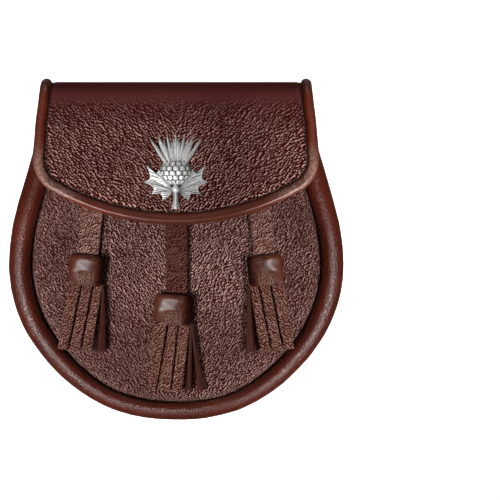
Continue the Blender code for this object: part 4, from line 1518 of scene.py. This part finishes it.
def make_pouch(thread, back):
    flap_grain = {"Length": 0.00150, "Width": 0.00132, "Facing": 1.19, "Lit": 0.70, "Dome": 0.30,
                  "Fine": 0.34, "Creases": 1400.0, "Tone": 0.19, "Level": 0.50, "Edge": 0.05}
    # The flap's crowns dim towards the fold: painted shade.
    flap = grained_leather("flap leather", (0.030, 0.0012, 0.0003), (0.590, 0.352, 0.308), 0.00028,
                           flap_grain, (455.0, 0.76), fade=(0.078, 0.088),
                           pale=(1.0, 0.9, 0.088, 0.056, 0.40), gloss=0.03)
    panel_grain = {"Length": 0.00130, "Width": 0.00114, "Facing": 1.43, "Lit": 0.70, "Dome": 0.34,
                   "Fine": 0.55, "Creases": 810.0, "Tone": 0.16, "Level": 0.445, "Edge": 0.05}
    # The panel's crowns are palest between the straps' tops: a painted sheen.
    panel = grained_leather("front panel leather", (0.032, 0.0043, 0.0020), (0.530, 0.334, 0.302), 0.00025,
                            panel_grain, (300.0, 0.70), pale=(0.068, 0.040, -0.046, -0.022, 0.71))
    roll = smooth_leather("roll leather", (0.043, 0.0050, 0.0018), (0.071, 0.0102, 0.0040), (0.31, 0.39),
                          0.00017, gloss=0.42)
    # The flap roll's corner carries a painted highlight.
    flap_roll = smooth_leather("flap roll leather", (0.066, 0.0085, 0.0030), (0.100, 0.0165, 0.0066),
                               (0.35, 0.43), 0.00010, gloss=0.10, corner=(0.0700, 0.0405, 0.007, 0.024),
                               polish=(-0.0022, 0.0006, 0.82, 0.42))
    side = smooth_leather("gusset leather", (0.034, 0.0070, 0.0045), (0.050, 0.0110, 0.0065), (0.38, 0.48),
                          0.00018, laid=False)
    make_front_roll(roll)
    make_back_roll(roll)
    make_front_leather(panel)
    make_back_leather(back)
    make_gusset_leather(side)
    make_flap_leather(flap)
    make_flap_roll(flap_roll)
    make_flap_stitches(thread)
    make_tail_stitches(thread)


def make_tassels():
    grain = {"Length": 0.00120, "Width": 0.00106, "Facing": 1.43, "Lit": 0.62, "Dome": 0.36, "Fine": 0.50,
             "Creases": 900.0, "Tone": 0.16, "Level": 0.38, "Edge": 0.10}
    strap, dark_strap, strips = [
        grained_leather(name, valley, crown, 0.00024, grain, (400.0, 0.70))
        for name, valley, crown in (
            ("strap leather", (0.052, 0.0076, 0.0036), (0.520, 0.322, 0.276)),
            ("center strap leather", (0.022, 0.0014, 0.0004), (0.184, 0.076, 0.054)),
            ("fringe leather", (0.044, 0.0050, 0.0017), (0.355, 0.208, 0.160)))]
    head = wrapped_leather("tassel head leather", (0.050, 0.0110, 0.0054), (0.084, 0.0215, 0.0108),
                           (0.27, 0.34), (0.042, 0.0086, 0.0042), (0.250, 0.126, 0.094))
    turned = smooth_leather("turned strip leather", (0.029, 0.0070, 0.0044), (0.049, 0.0125, 0.0080),
                            (0.34, 0.42), 0.00010, crease=0.0008, reach=0.12, gloss=0.14)
    for name, side, x, y, tilt, strap_x, lift in TASSEL_TABLE:
        place = tassel_place(x, y, tilt)
        make_strap(name, strap_x, y, tilt, dark_strap if name == "center" else strap)
        make_head(name, side, place, head)
        make_fringe(name, side, place, lift, strips, turned)


def finish_stud(steel):
    """The solid of the stud keeps its shape, with its edge rounded."""
    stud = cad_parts["snap_stud"]
    stud.data.materials.clear()
    stud.data.materials.append(steel)
    edge = stud.modifiers.new("Rounded edge", "BEVEL")
    edge.width = 0.0006
    edge.segments = 3


def main():
    thread = waxed_thread("seam thread", (0.020, 0.012, 0.010), (0.11, 0.085, 0.075))
    back = smooth_leather("back leather", (0.036, 0.0085, 0.0055), (0.052, 0.0130, 0.0085), (0.42, 0.52),
                          0.00018, crease=0.0018, reach=1.0, laid=False)
    silver = cast_silver()
    steel = plated_metal()
    make_pouch(thread, back)
    make_tassels()
    for make in (make_bulb, make_tuft, make_leaves, make_stem):
        make(silver)
    finish_stud(steel)
    for name, x in (("left", -RING_X), ("right", RING_X)):
        make_ring(name, x, steel)
        make_tab(name, x, back, thread)
    make_studio()
    make_camera()


main()
